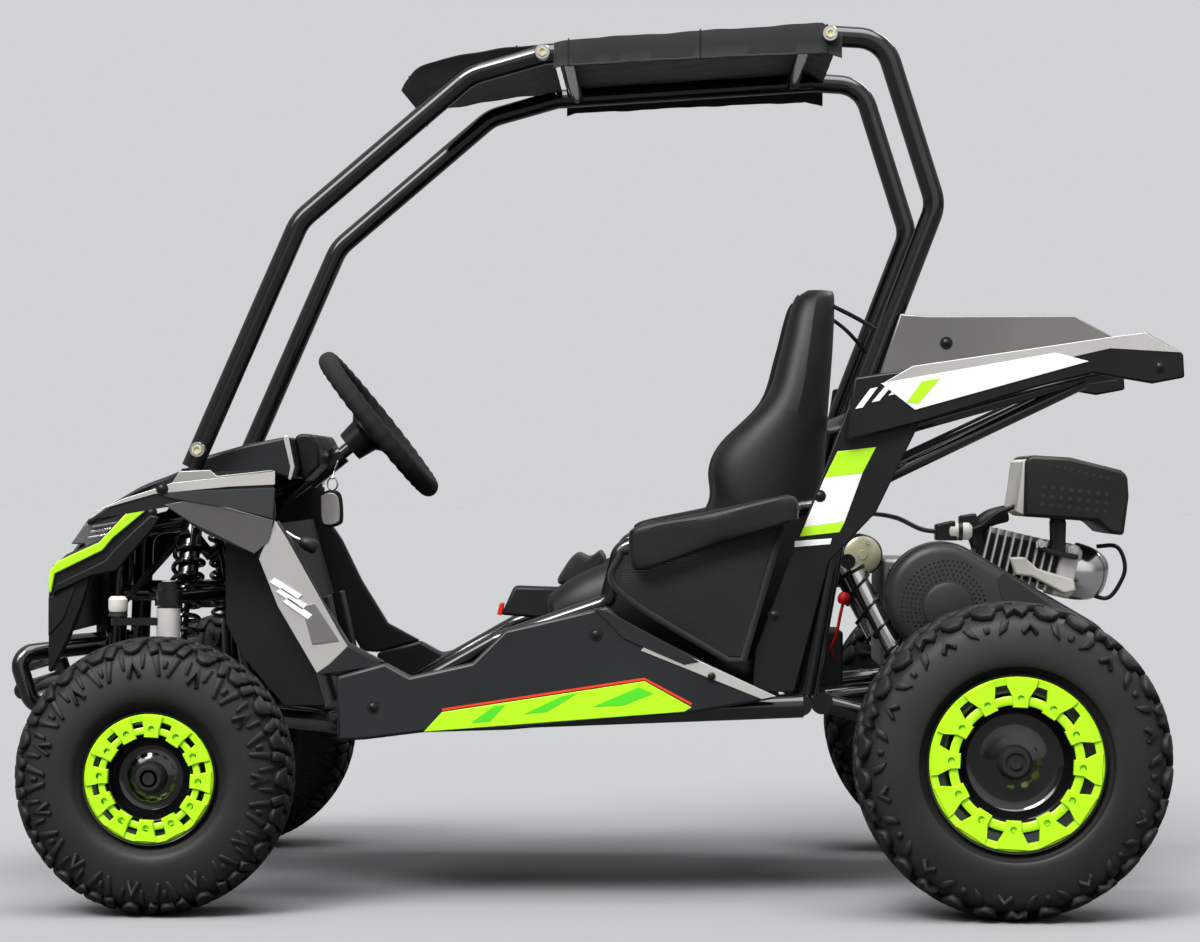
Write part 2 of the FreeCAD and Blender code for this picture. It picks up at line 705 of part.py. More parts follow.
bumper_cross = [cross_tube(front_axle - 226, 268, bumper_out, S("bumper_radius")),
                cross_tube(front_axle - 229, 300, bumper_out - 4, S("brace_radius"))]
bumper_tabs = [straight(at(nose_x + 8, (nose_out - 6) * sign, 330), at(nose_x + 24, nose_out * sign, 330), 10)
               for sign in (-1, 1)]
shaped("front_bumper", coped(welded(pair(bumper_loop) + bumper_cross + bumper_tabs), "floor_frame", "nose_frame"))

# ---------------------------------------------------------------- floor
tray_half = rail_out - 20
floor_points = [(pan_front, pan_front_z), (pan_back, pan_back_z), (pan_back, pan_back_z + pan_thick),
                (pan_front, pan_front_z + pan_thick)]
firewall_points = [(pan_front - 4, pan_front_z), (pan_front + 1, pan_front_z + 3),
                   (front_axle + 130, 500), (front_axle + 126, 498)]
node(fuse("floor_pan", [across("floor_sheet", floor_points, tray_half),
                        across("firewall_sheet", firewall_points, tray_half - 6)]), "floor_pan")

# Wheel liners close the footwell's sides, ahead of the firewall and over the pan.
liner_foot = pan_front_z + pan_thick + 0.7
liner_points = [(front_axle + 66, 500), (front_axle + 127, 500), (pan_front + 1, liner_foot),
                (front_axle + 146, liner_foot), (front_axle + 89, 323), (front_axle + 67, 367)]
node(group("wheel_liners", [plate("wheel_liner_" + name, liner_points, tray_half - 6 + seat_gap,
                                  S("liner_thick"), sign) for name, sign in sides]), "wheel_liners")

pedal_parts = []
for sign in (-1, 1):
    pedal = new_body("pedal_%s" % ("left" if sign < 0 else "right"))
    foot_z = pan_under(front_axle + 222) + pan_thick + seat_gap
    outline = [(front_axle + 210, foot_z), (front_axle + 222, foot_z),
               (front_axle + 190, 400), (front_axle + 176, 396)]
    pad(pedal, new_sketch(pedal, "XZ_Plane", 95 * sign - 30, outline), 60)
    pedal_parts.append(pedal)
node(group("pedals", pedal_parts), "pedals")

# ---------------------------------------------------------------- bodywork
hood = across("hood", [(front_axle - 129, 512), (front_axle - 91, 535), (front_axle - 46, 558),
                       (front_axle - 3, 572), (front_axle - 3, 566), (front_axle - 46, 552),
                       (front_axle - 91, 529), (front_axle - 129, 506)], S("hood_half_width"))
node(hood, "hood")

dash_half = S("cage_half_width") - S("dash_inset")
cowl = across("dash_cowl", [(front_axle + 40, 588), (front_axle + 110, 608), (front_axle + 149, 617),
                            (front_axle + 156, 553), (front_axle + 120, 556), (front_axle + 60, 560)],
              dash_half)
shaft_way = new_sketch(cowl, "YZ_Plane", front_axle + 30, [(-42, 540), (42, 540), (42, 604), (-42, 604)])
pocket(cowl, shaft_way, 200, True)
node(cowl, "dash_cowl")

nose_lower = across("nose_lower", [(front_axle - 182, 345), (front_axle - 182, 399), (front_axle - 178, 438),
                                   (front_axle - 172, 436), (front_axle - 176, 398), (front_axle - 176, 345)],
                    S("hood_half_width") - 14)
nose_upper = across("nose_upper", [(front_axle - 178, 438), (front_axle - 130.05, 506.28), (front_axle - 124.55, 502.68),
                                   (front_axle - 172, 436)], 120)
node(fuse("nose_panel", [nose_lower, nose_upper]), "nose_panel")

brow_points = [(front_axle - 181, 402), (front_axle - 176, 441), (front_axle - 156, 457),
               (front_axle - 109, 478), (front_axle - 64, 529), (front_axle - 40, 530),
               (front_axle - 34, 499), (front_axle - 96, 445), (front_axle - 122, 432),
               (front_axle - 136, 386), (front_axle - 154, 341), (front_axle - 177, 296),
               (front_axle - 181, 298)]
node(group("nose_sides", [plate("nose_side_%s" % name, brow_points, S("hood_half_width") - 14 + seat_gap, 20, sign)
                          for name, sign in sides]), "nose_sides")

lamp_points = [(front_axle - 130.5, 505.7), (front_axle - 96, 505.7), (front_axle - 104, 470), (front_axle - 155, 470)]
lamp_inner = nose_out + tube - 0.7
lamp_wide = S("hood_half_width") - lamp_inner - 16
node(group("headlights", [plate("headlight_%s" % name, lamp_points, lamp_inner, lamp_wide, sign)
                          for name, sign in sides]), "headlights")

fender_points = [(front_axle - 108, 504), (front_axle - 28, 544), (front_axle + 10, 566), (front_axle + 130, 572),
                 (front_axle + 137, 551), (front_axle + 141, 513), (front_axle + 130, 485),
                 (front_axle + 113, 461), (front_axle + 49, 487), (front_axle - 3, 522)]
fender_deck = [(front_axle - 2, 560), (front_axle + 126, 572), (front_axle + 126, 566), (front_axle - 2, 554)]
for side_name, side in sides:
    skin = plate(side_name + "_fender_side", fender_points, S("fender_half_width") - S("panel_thick"),
                 S("panel_thick"), side)
    deck_in = dash_half + seat_gap
    deck = plate(side_name + "_fender_deck", fender_deck, deck_in, S("fender_half_width") - deck_in - 2, side)
    cage_way = rod(side_name + "_cage_way", tube + 4, 80, foot_x + 2, S("cage_half_width") * side, 520, (0, 0, 1))
    node(cut(side_name + "_fender", fuse(side_name + "_fender_skins", [skin, deck]), cage_way),
         side_name + "_fender")

leg_points = [(front_axle + 143, 506), (front_axle + 130.2, 484.6), (front_axle + 116, 458), (front_axle + 137, 415),
              (front_axle + 162, 376), (front_axle + 198, 302), (front_axle + 222, 300 + seat_gap),
              (front_axle + 286, 318 + seat_gap),
              (front_axle + 238, 344), (front_axle + 198, 408), (front_axle + 168, 469)]
skirt_points = [(front_axle + 222, 300), (front_axle + 286, 318), (front_axle + 319, 300),
                (front_axle + 401, 319), (front_axle + 444, 362), (rear_axle - 521, 394),
                (rear_axle - 505, 377), (rear_axle - 373, 311), (rear_axle - 299, 274),
                (rear_axle - 409, 254), (front_axle + 452, 231), (front_axle + 338, 227),
                (front_axle + 261, 217), (front_axle + 224, 215)]
for side_name, side in sides:
    node(plate(side_name + "_leg_panel", leg_points,
               S("panel_half_width") - S("panel_thick") - S("leg_panel_thick"), S("leg_panel_thick"), side),
         side_name + "_leg_panel")
    node(plate(side_name + "_skirt", skirt_points, S("panel_half_width") - S("skirt_thick"),
               S("skirt_thick"), side), side_name + "_skirt")

# Side guard: a bent tube around a mesh panel, with a pad along its top.
guard_radius = S("guard_radius")
guard_out = S("panel_half_width") - S("skirt_thick") - guard_radius - seat_gap
mesh_in = guard_out + guard_radius + seat_gap


def guard_tube(sign):
    y = guard_out * sign
    return bent([at(rail_front + 30, rail_out * sign, rail_z + 14),
                 at(front_axle + 431, y, 347), at(rear_axle - 522, y, 398),
                 at(rear_axle - 505, y, 470), at(rear_axle - 310, y, 511),
                 at(rear_axle - 262, (cage_out - 3) * sign, 524),
                 at(rear_axle - 214, (cage_out - 3) * sign, 532)], guard_radius, 20)


shaped("side_guards", coped(Part.makeCompound(pair(guard_tube)), "floor_frame", "rear_cage"))
mesh_points = [(rear_axle - 508, 414), (rear_axle - 504, 466), (rear_axle - 288, 512),
               (rear_axle - 342, 322), (rear_axle - 362, 322)]
node(group("side_meshes", [plate("side_mesh_" + name, mesh_points, mesh_in,
                                 S("side_mesh_thick"), sign)
                           for name, sign in sides]), "side_meshes")
arm_points = [(rear_axle - 500, 482.6), (rear_axle - 282, 528.6), (rear_axle - 278, 545), (rear_axle - 282, 551),
              (rear_axle - 492, 506), (rear_axle - 504, 494)]
node(group("arm_pads", [plate("arm_pad_" + name, arm_points, S("side_mesh_half_width") - 24,
                              S("arm_pad_wide"), sign)
                        for name, sign in sides]), "arm_pads")
plate_foot_z = rail_z + 44

pillar_points = [(rear_axle - 188, 700), (rear_axle - 108, 640), (rear_axle - 167, 518), (rear_axle - 228, 454),
                 (rear_axle - 274, plate_foot_z), (rear_axle - 330, plate_foot_z), (rear_axle - 326, 336),
                 (rear_axle - 277, 471)]
node(group("pillar_plates", [plate("pillar_plate_" + name, pillar_points, plate_in, S("panel_thick"), sign)
                             for name, sign in sides]), "pillar_plates")

upper_tail = [(rear_axle - 166, 691), (rear_axle - 136, 782), (rear_axle - 101, 779), (rear_axle + 95, 780),
              (rear_axle + 147, 751), (rear_axle + 147, 739)]
lower_tail = [(rear_axle - 197, 697), (rear_axle - 160, 702), (rear_axle + 148, 749), (rear_axle + 189, 757),
              (rear_axle + 236, 730), (rear_axle + 238, 698), (rear_axle + 196, 690),
              (rear_axle + 118, 703), (rear_axle + 45, 685), (rear_axle - 105, 639), (rear_axle - 209, 612)]
node(group("tail_uppers", [plate("tail_upper_" + name, upper_tail, tail_lap, S("panel_thick"), sign)
                           for name, sign in sides]), "tail_uppers")
node(group("tail_lowers", [plate("tail_lower_" + name, lower_tail, tail_outer, 12, sign)
                           for name, sign in sides]), "tail_lowers")

# ---------------------------------------------------------------- roof
bar_top = tube + seat_gap
sheet_thick = S("canopy_sheet_thick")
canopy_sheet = across("canopy_sheet", [(roof_front + 12, S("roof_height") + bar_top + 1 + sheet_thick),
                                       (roof_back - 20, roof_back_height + bar_top + sheet_thick),
                                       (roof_back + 14, roof_back_height + bar_top - 6 + sheet_thick),
                                       (roof_back + 18, roof_back_height + bar_top - 12),
                                       (roof_back - 20, roof_back_height + bar_top),
                                       (roof_front + 12, S("roof_height") + bar_top + 1)],
                      S("canopy_half_width"))
flap_points = [(roof_front + 14, S("roof_height") - 20), (roof_front + 13, S("roof_height") + bar_top + 4),
               (roof_back - 20, roof_back_height + bar_top + 3), (roof_back + 12, roof_back_height + bar_top - 3),
               (roof_back + 16, roof_back_height - 18), (roof_back + 4, roof_back_height - 52)]
flap_in = cage_out + tube + seat_gap
flaps = [plate("canopy_flap_" + name, flap_points, flap_in, S("canopy_half_width") - flap_in, sign)
         for name, sign in sides]
canopy_form = fuse("canopy_form", [canopy_sheet] + flaps)
doc.recompute()
shaped("canopy", coped(canopy_form.Shape, "roof_bars", "rear_cage", "left_front_pillar", "right_front_pillar"))
visor_seat = S("roof_height") + bar_top
visor_points = [(front_axle + 296, S("roof_height") - 40), (front_axle + 316, S("roof_height") - 14),
                (front_axle + 424, S("roof_height") + 16), (roof_front + 6, visor_seat + 6),
                (roof_front + 6, visor_seat), (front_axle + 426, S("roof_height") + 9),
                (front_axle + 320, S("roof_height") - 20), (front_axle + 304, S("roof_height") - 42)]
node(across("visor", visor_points, cage_out + 7), "visor")

# ---------------------------------------------------------------- seat
seat_x = rear_axle - 550
seat_points = [(seat_x + 334, 815), (seat_x + 289, 817), (seat_x + 268, 791), (seat_x + 253, 737),
               (seat_x + 232, 673), (seat_x + 174, 611), (seat_x + 166, 575), (seat_x + 130, 480),
               (seat_x - 40, 440), (seat_x - 60, 400), (seat_x - 50, 330), (seat_x + 250, S("seat_base_height")),
               (seat_x + 300, 420), (seat_x + 318, 560), (seat_x + 326, 669)]
seat = across("seat", seat_points, S("seat_half_width"))
hollow = [(seat_x + 284, 760), (seat_x + 200, 860), (seat_x - 120, 700), (seat_x - 120, 398),
          (seat_x + 196, 376), (seat_x + 246, 500), (seat_x + 268, 640)]
hollow_sketch = new_sketch(seat, "XZ_Plane", S("seat_inner_half_width") * -1, hollow)
pocket(seat, hollow_sketch, S("seat_inner_half_width") * 2, True)
node(seat, "seat")
mount_z = pan_under(seat_x - 30 + S("seat_mount_long")) + pan_thick + seat_gap
node(box("seat_mount", seat_x - 30, S("seat_mount_wide") / -2, mount_z, S("seat_mount_long"),
         S("seat_mount_wide"), S("seat_base_height") - mount_z), "seat_mount")
node(group("harness", [box("lap_belt_left", seat_x - 20, -46, 391.3, 70, 28, 24),
                       box("lap_belt_right", seat_x - 20, 18, 391.3, 70, 28, 24)]), "harness")

# ---------------------------------------------------------------- engine
block_z = cradle_z + 27 + tube + seat_gap
block_front = rear_axle - 150
node(box("engine_block", block_front, S("cradle_half_width") * -1, block_z, S("engine_long"),
         S("engine_wide"), S("engine_top") - block_z), "engine_block")
barrel = across("cylinder", [(rear_axle - 8, 430), (rear_axle - 8, 496), (rear_axle + 84, 495),
                             (rear_axle + 130, 476), (rear_axle + 172, 452), (rear_axle + 178, 407),
                             (rear_axle + 120, 388), (rear_axle + 20, 420)], S("cylinder_half_width"))
node(barrel, "cylinder")
node(across("muffler", [(rear_axle + 42, 499), (rear_axle + 53, 595), (rear_axle + 96, 598),
                        (rear_axle + 189, 570), (rear_axle + 194, 519), (rear_axle + 183, 486)],
            S("muffler_half_width")), "muffler")
cover_points = [(rear_axle - 152, 408), (rear_axle - 132, 456), (rear_axle - 84, 480), (rear_axle - 40, 470),
                (rear_axle + 17, 433), (rear_axle + 94, 400), (rear_axle + 134, 378), (rear_axle + 153, 351),
                (rear_axle + 150, 312), (rear_axle + 118, 284), (rear_axle - 60, 346), (rear_axle - 130, 366)]
cover_shell = plate("cover_shell", cover_points, S("cover_inner"), S("cover_deep"), -1)
boss_long = S("cover_inner") - S("cradle_half_width") + 5 - seat_gap
drive_boss = rod("drive_boss", S("drive_boss_radius"), boss_long, rear_axle - 88,
                 S("cover_inner") * -1 - 5, 408, (0, 1, 0))
node(fuse("belt_cover", [cover_shell, drive_boss]), "belt_cover")
starter = S("starter_radius")
node(rod("starter_motor", starter, S("starter_long"), block_front - starter - seat_gap, -188, 448, (0, 1, 0)),
     "starter_motor")
node(box("battery", rail_back - 12, -96, cradle_z + tube + seat_gap, S("battery_long"), S("battery_wide"),
         S("battery_tall")), "battery")

# ---------------------------------------------------------------- write out
doc.recompute()
for thing in doc.Objects:
    if "Invalid" in thing.State or "Error" in thing.State:
        raise RuntimeError("%s failed: %s" % (thing.Label, thing.State))
os.makedirs("parts", exist_ok=True)
for label, thing in nodes.items():
    shape = thing.Shape
    if shape.isNull() or not shape.isValid():
        raise RuntimeError("%s has no valid shape" % label)
    shape.exportStep("parts/%s.step" % label)
    print(label, len(shape.Solids), round(shape.Volume / 1000), shape.BoundBox)
print("nodes:", len(nodes))
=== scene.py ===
import json
import math
import bpy
import bmesh
import numpy as np
from mathutils import Matrix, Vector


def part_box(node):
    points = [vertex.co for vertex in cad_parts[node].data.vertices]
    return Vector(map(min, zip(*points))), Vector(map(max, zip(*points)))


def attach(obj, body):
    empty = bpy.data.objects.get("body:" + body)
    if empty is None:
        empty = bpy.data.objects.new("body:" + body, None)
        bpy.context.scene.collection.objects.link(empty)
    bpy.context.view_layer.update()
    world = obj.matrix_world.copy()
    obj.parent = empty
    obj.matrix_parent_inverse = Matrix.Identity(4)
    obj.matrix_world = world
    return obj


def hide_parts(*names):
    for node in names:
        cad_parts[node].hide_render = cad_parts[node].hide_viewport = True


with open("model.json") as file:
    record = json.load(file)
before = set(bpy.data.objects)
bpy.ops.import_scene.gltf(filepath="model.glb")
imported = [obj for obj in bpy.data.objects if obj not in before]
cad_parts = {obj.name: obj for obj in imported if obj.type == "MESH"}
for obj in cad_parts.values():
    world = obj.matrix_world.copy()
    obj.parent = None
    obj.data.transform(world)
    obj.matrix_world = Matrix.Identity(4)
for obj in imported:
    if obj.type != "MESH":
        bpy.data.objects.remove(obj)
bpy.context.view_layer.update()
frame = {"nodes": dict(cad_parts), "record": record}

scene = bpy.context.scene
sideSigns = (("left", -1), ("right", 1))
finish = {}      # material name -> material


def middle(node):      # centre of a CAD node's box, in millimetres
    low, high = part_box(node)
    return np.array([(low[i] + high[i]) * 500 for i in range(3)])


frontHub = middle("left_front_tyre")
rearHub = middle("left_rear_tyre")
frontX, rearX = frontHub[0], rearHub[0]


# ---- mesh building, all in millimetres until the last step
def gridFaces(rows, cols, closeRows=False, closeCols=False):
    # every quad joins four neighbours of a rows x cols grid, wrapping where a side is closed
    i = np.arange(rows if closeRows else rows - 1)
    j = np.arange(cols if closeCols else cols - 1)
    a, b = np.meshgrid(i, j, indexing="ij")
    up, on = (a + 1) % rows, (b + 1) % cols
    quads = np.stack([a * cols + b, up * cols + b, up * cols + on, a * cols + on], axis=-1)
    return quads.reshape(-1, 4)


def grid(points, closeRows=False, closeCols=False):
    points = np.asarray(points, dtype=float)
    rows, cols = points.shape[:2]
    return points.reshape(-1, 3), [gridFaces(rows, cols, closeRows, closeCols)]


def slab(outline, inner, outer, axis=1):
    # a flat outline with two faces a wall apart: the same corners at two heights on one axis
    flat = np.asarray(outline, dtype=float)
    count = len(flat)
    verts = np.zeros((count * 2, 3))
    others = [i for i in range(3) if i != axis]
    verts[:, others] = np.vstack([flat, flat])
    verts[:count, axis] = inner
    verts[count:, axis] = outer
    i = np.arange(count)
    on = (i + 1) % count
    sides = np.stack([i, on, on + count, i + count], axis=-1)
    return verts, [sides, i[None, ::-1], (i + count)[None, :]]


def alongPath(path, radius, sides=14, closed=False):
    # a ring of the given radius carried along the path, square to its direction
    path = np.asarray(path, dtype=float)
    ahead = np.roll(path, -1, 0) - np.roll(path, 1, 0)
    if not closed:
        ahead[0], ahead[-1] = path[1] - path[0], path[-1] - path[-2]
    ahead /= np.linalg.norm(ahead, axis=1)[:, None]
    guide = np.array([0.0, 1, 0]) if abs(ahead[:, 1]).max() < 0.9 else np.array([0.31, 0.12, 0.94])
    across = np.cross(ahead, guide)
    across /= np.linalg.norm(across, axis=1)[:, None]
    over = np.cross(ahead, across)
    turn = np.linspace(0, 2 * np.pi, sides, endpoint=False)
    size = np.broadcast_to(np.asarray(radius, dtype=float), (len(path),))
    if not closed:      # the ends close on a point each
        path = np.vstack([path[:1], path, path[-1:]])
        across = np.vstack([across[:1], across, across[-1:]])
        over = np.vstack([over[:1], over, over[-1:]])
        size = np.concatenate([[0], size, [0]])
    ring = across[:, None] * np.cos(turn)[None, :, None] + over[:, None] * np.sin(turn)[None, :, None]
    return grid(path[:, None] + ring * size[:, None, None], closed, True)


def lathe(profile, centre, turns=48, axis=1):
    # a profile of (along the axis, radius) turned about the axis through the centre
    profile = np.asarray(profile, dtype=float)
    turn = np.linspace(0, 2 * np.pi, turns, endpoint=False)
    points = np.zeros((len(profile), turns, 3))
    first, second = [(1, 2), (2, 0), (0, 1)][axis]
    points[..., axis] = profile[:, 0, None]
    points[..., first] = profile[:, 1, None] * np.cos(turn)
    points[..., second] = profile[:, 1, None] * np.sin(turn)
    return grid(points + np.asarray(centre, dtype=float), False, True)


def smoothLine(corners, steps=8):
    # a Catmull-Rom curve through the corners
    p = np.asarray(corners, dtype=float)
    p = np.vstack([2 * p[0] - p[1], p, 2 * p[-1] - p[-2]])
    t = np.linspace(0, 1, steps, endpoint=False)[:, None]
    pieces = []
    for a, b, c, d in zip(p, p[1:], p[2:], p[3:]):
        pieces.append(0.5 * (2 * b + (c - a) * t + (2 * a - 5 * b + 4 * c - d) * t ** 2
                             + (3 * b - a - 3 * c + d) * t ** 3))
    return np.vstack(pieces + [p[-2][None]])


def turnedBy(part, centre, matrix):
    verts, faces = part
    return (verts - centre) @ np.asarray(matrix).T + centre, faces


def addPiece(name, parts, material, body="chassis", slotName=None, bevel=0, subdiv=0, smooth=True,
             solid=0, angle=35, replaces=()):
    verts = np.vstack([part[0] for part in parts]) * 0.001
    loops, sizes, offset = [], [], 0
    for part in parts:
        for block in part[1]:
            loops.append((block + offset).ravel())
            sizes.append(np.full(len(block), block.shape[1]))
        offset += len(part[0])
    loops, sizes = np.concatenate(loops), np.concatenate(sizes)
    mesh = bpy.data.meshes.new(name)
    mesh.vertices.add(len(verts))
    mesh.vertices.foreach_set("co", verts.ravel())
    mesh.loops.add(len(loops))
    mesh.loops.foreach_set("vertex_index", loops.astype(np.int32))
    mesh.polygons.add(len(sizes))
    mesh.polygons.foreach_set("loop_start", np.concatenate([[0], np.cumsum(sizes)[:-1]]).astype(np.int32))
    mesh.update()
    mesh.validate()
    return settle(name, mesh, material, body, bevel, subdiv, smooth, solid, angle, replaces)


def settle(name, mesh, material, body, bevel, subdiv, smooth, solid, angle, replaces):
    # merges doubles, turns the faces outwards and gives the piece its finish and its body
    work = bmesh.new()
    work.from_mesh(mesh)
    bmesh.ops.remove_doubles(work, verts=work.verts, dist=0.00002)
    bmesh.ops.dissolve_degenerate(work, edges=work.edges, dist=0.000005)
    bmesh.ops.recalc_face_normals(work, faces=work.faces)
    work.to_mesh(mesh)
    work.free()
    piece = bpy.data.objects.new(name, mesh)
    scene.collection.objects.link(piece)
    mesh.materials.append(finish[material])
    if solid:
        thick = piece.modifiers.new("wall", "SOLIDIFY")
        thick.thickness = solid * 0.001
    if bevel:
        edge = piece.modifiers.new("edges", "BEVEL")
        edge.width = bevel * 0.001
        edge.segments = 2
        edge.limit_method = "ANGLE"
        edge.angle_limit = math.radians(angle)
    if subdiv:
        soft = piece.modifiers.new("round", "SUBSURF")
        soft.levels = soft.render_levels = subdiv
    if smooth:
        mesh.shade_smooth()
        mesh.set_sharp_from_angle(angle=math.radians(40))
    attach(piece, body)
    if replaces:
        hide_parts(*replaces)
    return piece


def softenNode(node, material, width=1.5, body="chassis"):
    # a copy of a CAD node with its edges rounded, standing for the node
    mesh = frame["nodes"][node].data.copy()
    mesh.materials.clear()
    work = bmesh.new()
    work.from_mesh(mesh)
    bmesh.ops.remove_doubles(work, verts=work.verts, dist=0.00005)
    bmesh.ops.dissolve_limit(work, angle_limit=math.radians(2), verts=work.verts, edges=work.edges)
    work.to_mesh(mesh)
    work.free()
    return settle(node + "_skin", mesh, material, body, width, 0, True, 0, 30, (node,))


# ---- materials
def newGroup(name, inputs, outputs):
    group = bpy.data.node_groups.new(name, "ShaderNodeTree")
    for label, kind, value in inputs:
        socket = group.interface.new_socket(label, in_out="INPUT", socket_type=kind)
        socket.default_value = value
    for label, kind in outputs:
        group.interface.new_socket(label, in_out="OUTPUT", socket_type=kind)
    start = group.nodes.new("NodeGroupInput")
    end = group.nodes.new("NodeGroupOutput")
    return group, start, end


def math2(nodes, links, kind, a, b):
    step = nodes.new("ShaderNodeMath")
    step.operation = kind
    for socket, value in zip(step.inputs, (a, b)):
        if isinstance(value, (int, float)):
            socket.default_value = value
        else:
            links.new(value, socket)
    return step.outputs[0]


def makeGrainGroup():
    # fine grain for bump, a slow cloud for colour, both from the object's own coordinates
    group, start, end = newGroup("surfaceGrain", [("Fine scale", "NodeSocketFloat", 900.0),
                                                  ("Cloud scale", "NodeSocketFloat", 9.0)],
                                 [("Fine", "NodeSocketFloat"), ("Cloud", "NodeSocketFloat")])
    place = group.nodes.new("ShaderNodeTexCoord")
    for inputName, outputName in (("Fine scale", "Fine"), ("Cloud scale", "Cloud")):
        noise = group.nodes.new("ShaderNodeTexNoise")
        noise.inputs["Detail"].default_value = 3
        group.links.new(place.outputs["Object"], noise.inputs["Vector"])
        group.links.new(start.outputs[inputName], noise.inputs["Scale"])
        group.links.new(noise.outputs["Fac"], end.inputs[outputName])
    return group


def makeWeaveGroup():
    # warp and weft: the larger of two sine waves, one along each way of the cloth
    group, start, end = newGroup("clothWeave", [("Threads", "NodeSocketFloat", 500.0)],
                                 [("Height", "NodeSocketFloat"), ("Gap", "NodeSocketFloat")])
    nodes, links = group.nodes, group.links
    place = nodes.new("ShaderNodeTexCoord")
    split = nodes.new("ShaderNodeSeparateXYZ")
    links.new(place.outputs["Object"], split.inputs[0])
    waves = []
    slanted = math2(nodes, links, "ADD", split.outputs[2], math2(nodes, links, "MULTIPLY", split.outputs[1], 0.7))
    for along in (split.outputs[0], slanted):
        turn = math2(nodes, links, "MULTIPLY", along, start.outputs["Threads"])
        waves.append(math2(nodes, links, "ABSOLUTE", math2(nodes, links, "SINE", turn, 0), 0))
    links.new(math2(nodes, links, "MAXIMUM", waves[0], waves[1]), end.inputs["Height"])
    gap = math2(nodes, links, "LESS_THAN", math2(nodes, links, "MAXIMUM", waves[0], waves[1]), 0.62)
    links.new(gap, end.inputs["Gap"])
    return group


grainGroup = makeGrainGroup()
weaveGroup = makeWeaveGroup()


def addFinish(name, colour, rough, metal=0.0, bump=0.1, fine=900.0, cloud=9.0, vary=0.25, coat=0.0,
              roughVary=0.12, coatRough=0.08, weave=0.0, ior=1.5, sheen=0.0):
    # base colour shaded by the cloud, roughness by the cloud and the bump by the grain or weave
    material = bpy.data.materials.new(name)
    material.use_nodes = True
    nodes, links = material.node_tree.nodes, material.node_tree.links
    shader = nodes["Principled BSDF"]
    grain = nodes.new("ShaderNodeGroup")
    grain.node_tree = grainGroup
    grain.inputs["Fine scale"].default_value = fine
    grain.inputs["Cloud scale"].default_value = cloud
    ramp = nodes.new("ShaderNodeMapRange")
    ramp.inputs["To Min"].default_value = 1 - vary
    ramp.inputs["To Max"].default_value = 1 + vary
    links.new(grain.outputs["Cloud"], ramp.inputs["Value"])
    tint = nodes.new("ShaderNodeVectorMath")
    tint.operation = "SCALE"
    tint.inputs[0].default_value = colour
    links.new(ramp.outputs["Result"], tint.inputs["Scale"])
    links.new(tint.outputs["Vector"], shader.inputs["Base Color"])
    roughRange = nodes.new("ShaderNodeMapRange")
    roughRange.inputs["To Min"].default_value = max(0.02, rough - roughVary)
    roughRange.inputs["To Max"].default_value = min(1, rough + roughVary)
    links.new(grain.outputs["Cloud"], roughRange.inputs["Value"])
    links.new(roughRange.outputs["Result"], shader.inputs["Roughness"])
    shader.inputs["Metallic"].default_value = metal
    shader.inputs["IOR"].default_value = ior
    shader.inputs["Specular IOR Level"].default_value = 0.5 if metal or coat else 0.3
    shader.inputs["Coat Weight"].default_value = coat
    shader.inputs["Coat Roughness"].default_value = coatRough
    shader.inputs["Sheen Weight"].default_value = sheen
    relief = nodes.new("ShaderNodeBump")
    relief.inputs["Strength"].default_value = bump
    relief.inputs["Distance"].default_value = 0.0006
    height = grain.outputs["Fine"]
    if weave:
        cloth = nodes.new("ShaderNodeGroup")
        cloth.node_tree = weaveGroup
        cloth.inputs["Threads"].default_value = weave
        height = cloth.outputs["Height"]
    links.new(height, relief.inputs["Height"])
    links.new(relief.outputs["Normal"], shader.inputs["Normal"])
    finish[name] = material
    return material


addFinish("tubeBlack", (0.004, 0.004, 0.0045), 0.14, bump=0.01, coat=0.7, roughVary=0.04)
addFinish("blackPlastic", (0.008, 0.008, 0.0085), 0.42, bump=0.25, fine=1400)
addFinish("satinBlack", (0.007, 0.007, 0.008), 0.34, bump=0.08)
addFinish("greyPlastic", (0.19, 0.187, 0.18), 0.36, metal=0.6, bump=0.05, cloud=5, vary=0.3, coat=0.1)
addFinish("darkPanel", (0.013, 0.014, 0.015), 0.4, metal=0.25, bump=0.08, cloud=5, vary=0.3)
addFinish("silverPlastic", (0.52, 0.51, 0.485), 0.36, metal=0.45, bump=0.05, cloud=6, vary=0.2, coat=0.1)
addFinish("lime", (0.42, 0.80, 0.006), 0.36, bump=0.04, vary=0.06, coat=0.25)
addFinish("limeGloss", (0.43, 0.84, 0.007), 0.28, bump=0.03, vary=0.05, coat=0.35)
addFinish("greenDecal", (0.08, 0.62, 0.02), 0.35, bump=0.02, vary=0.05)
addFinish("whiteDecal", (0.78, 0.78, 0.77), 0.35, bump=0.02, vary=0.05)
addFinish("redDecal", (0.72, 0.05, 0.015), 0.35, bump=0.02, vary=0.05)
addFinish("rubber", (0.011, 0.0105, 0.010), 0.6, bump=0.35, fine=700, cloud=22, vary=0.4)
addFinish("sidewall", (0.014, 0.0137, 0.0133), 0.55, bump=0.12, fine=500, cloud=14, vary=0.3)
addFinish("vinyl", (0.0065, 0.0065, 0.007), 0.46, bump=0.35, fine=620, cloud=8, vary=0.3, sheen=0.04)
addFinish("canvas", (0.0085, 0.0085, 0.009), 0.72, bump=0.5, weave=2600, sheen=0.15)
addFinish("webbing", (0.008, 0.008, 0.008), 0.7, bump=0.6, weave=2000)
addFinish("foam", (0.010, 0.010, 0.010), 0.78, bump=0.5, fine=1500)
addFinish("chrome", (0.78, 0.78, 0.78), 0.16, metal=1, bump=0.02, vary=0.1, roughVary=0.06)
addFinish("zinc", (0.66, 0.62, 0.42), 0.34, metal=0.35, bump=0.08, vary=0.2, cloud=40)
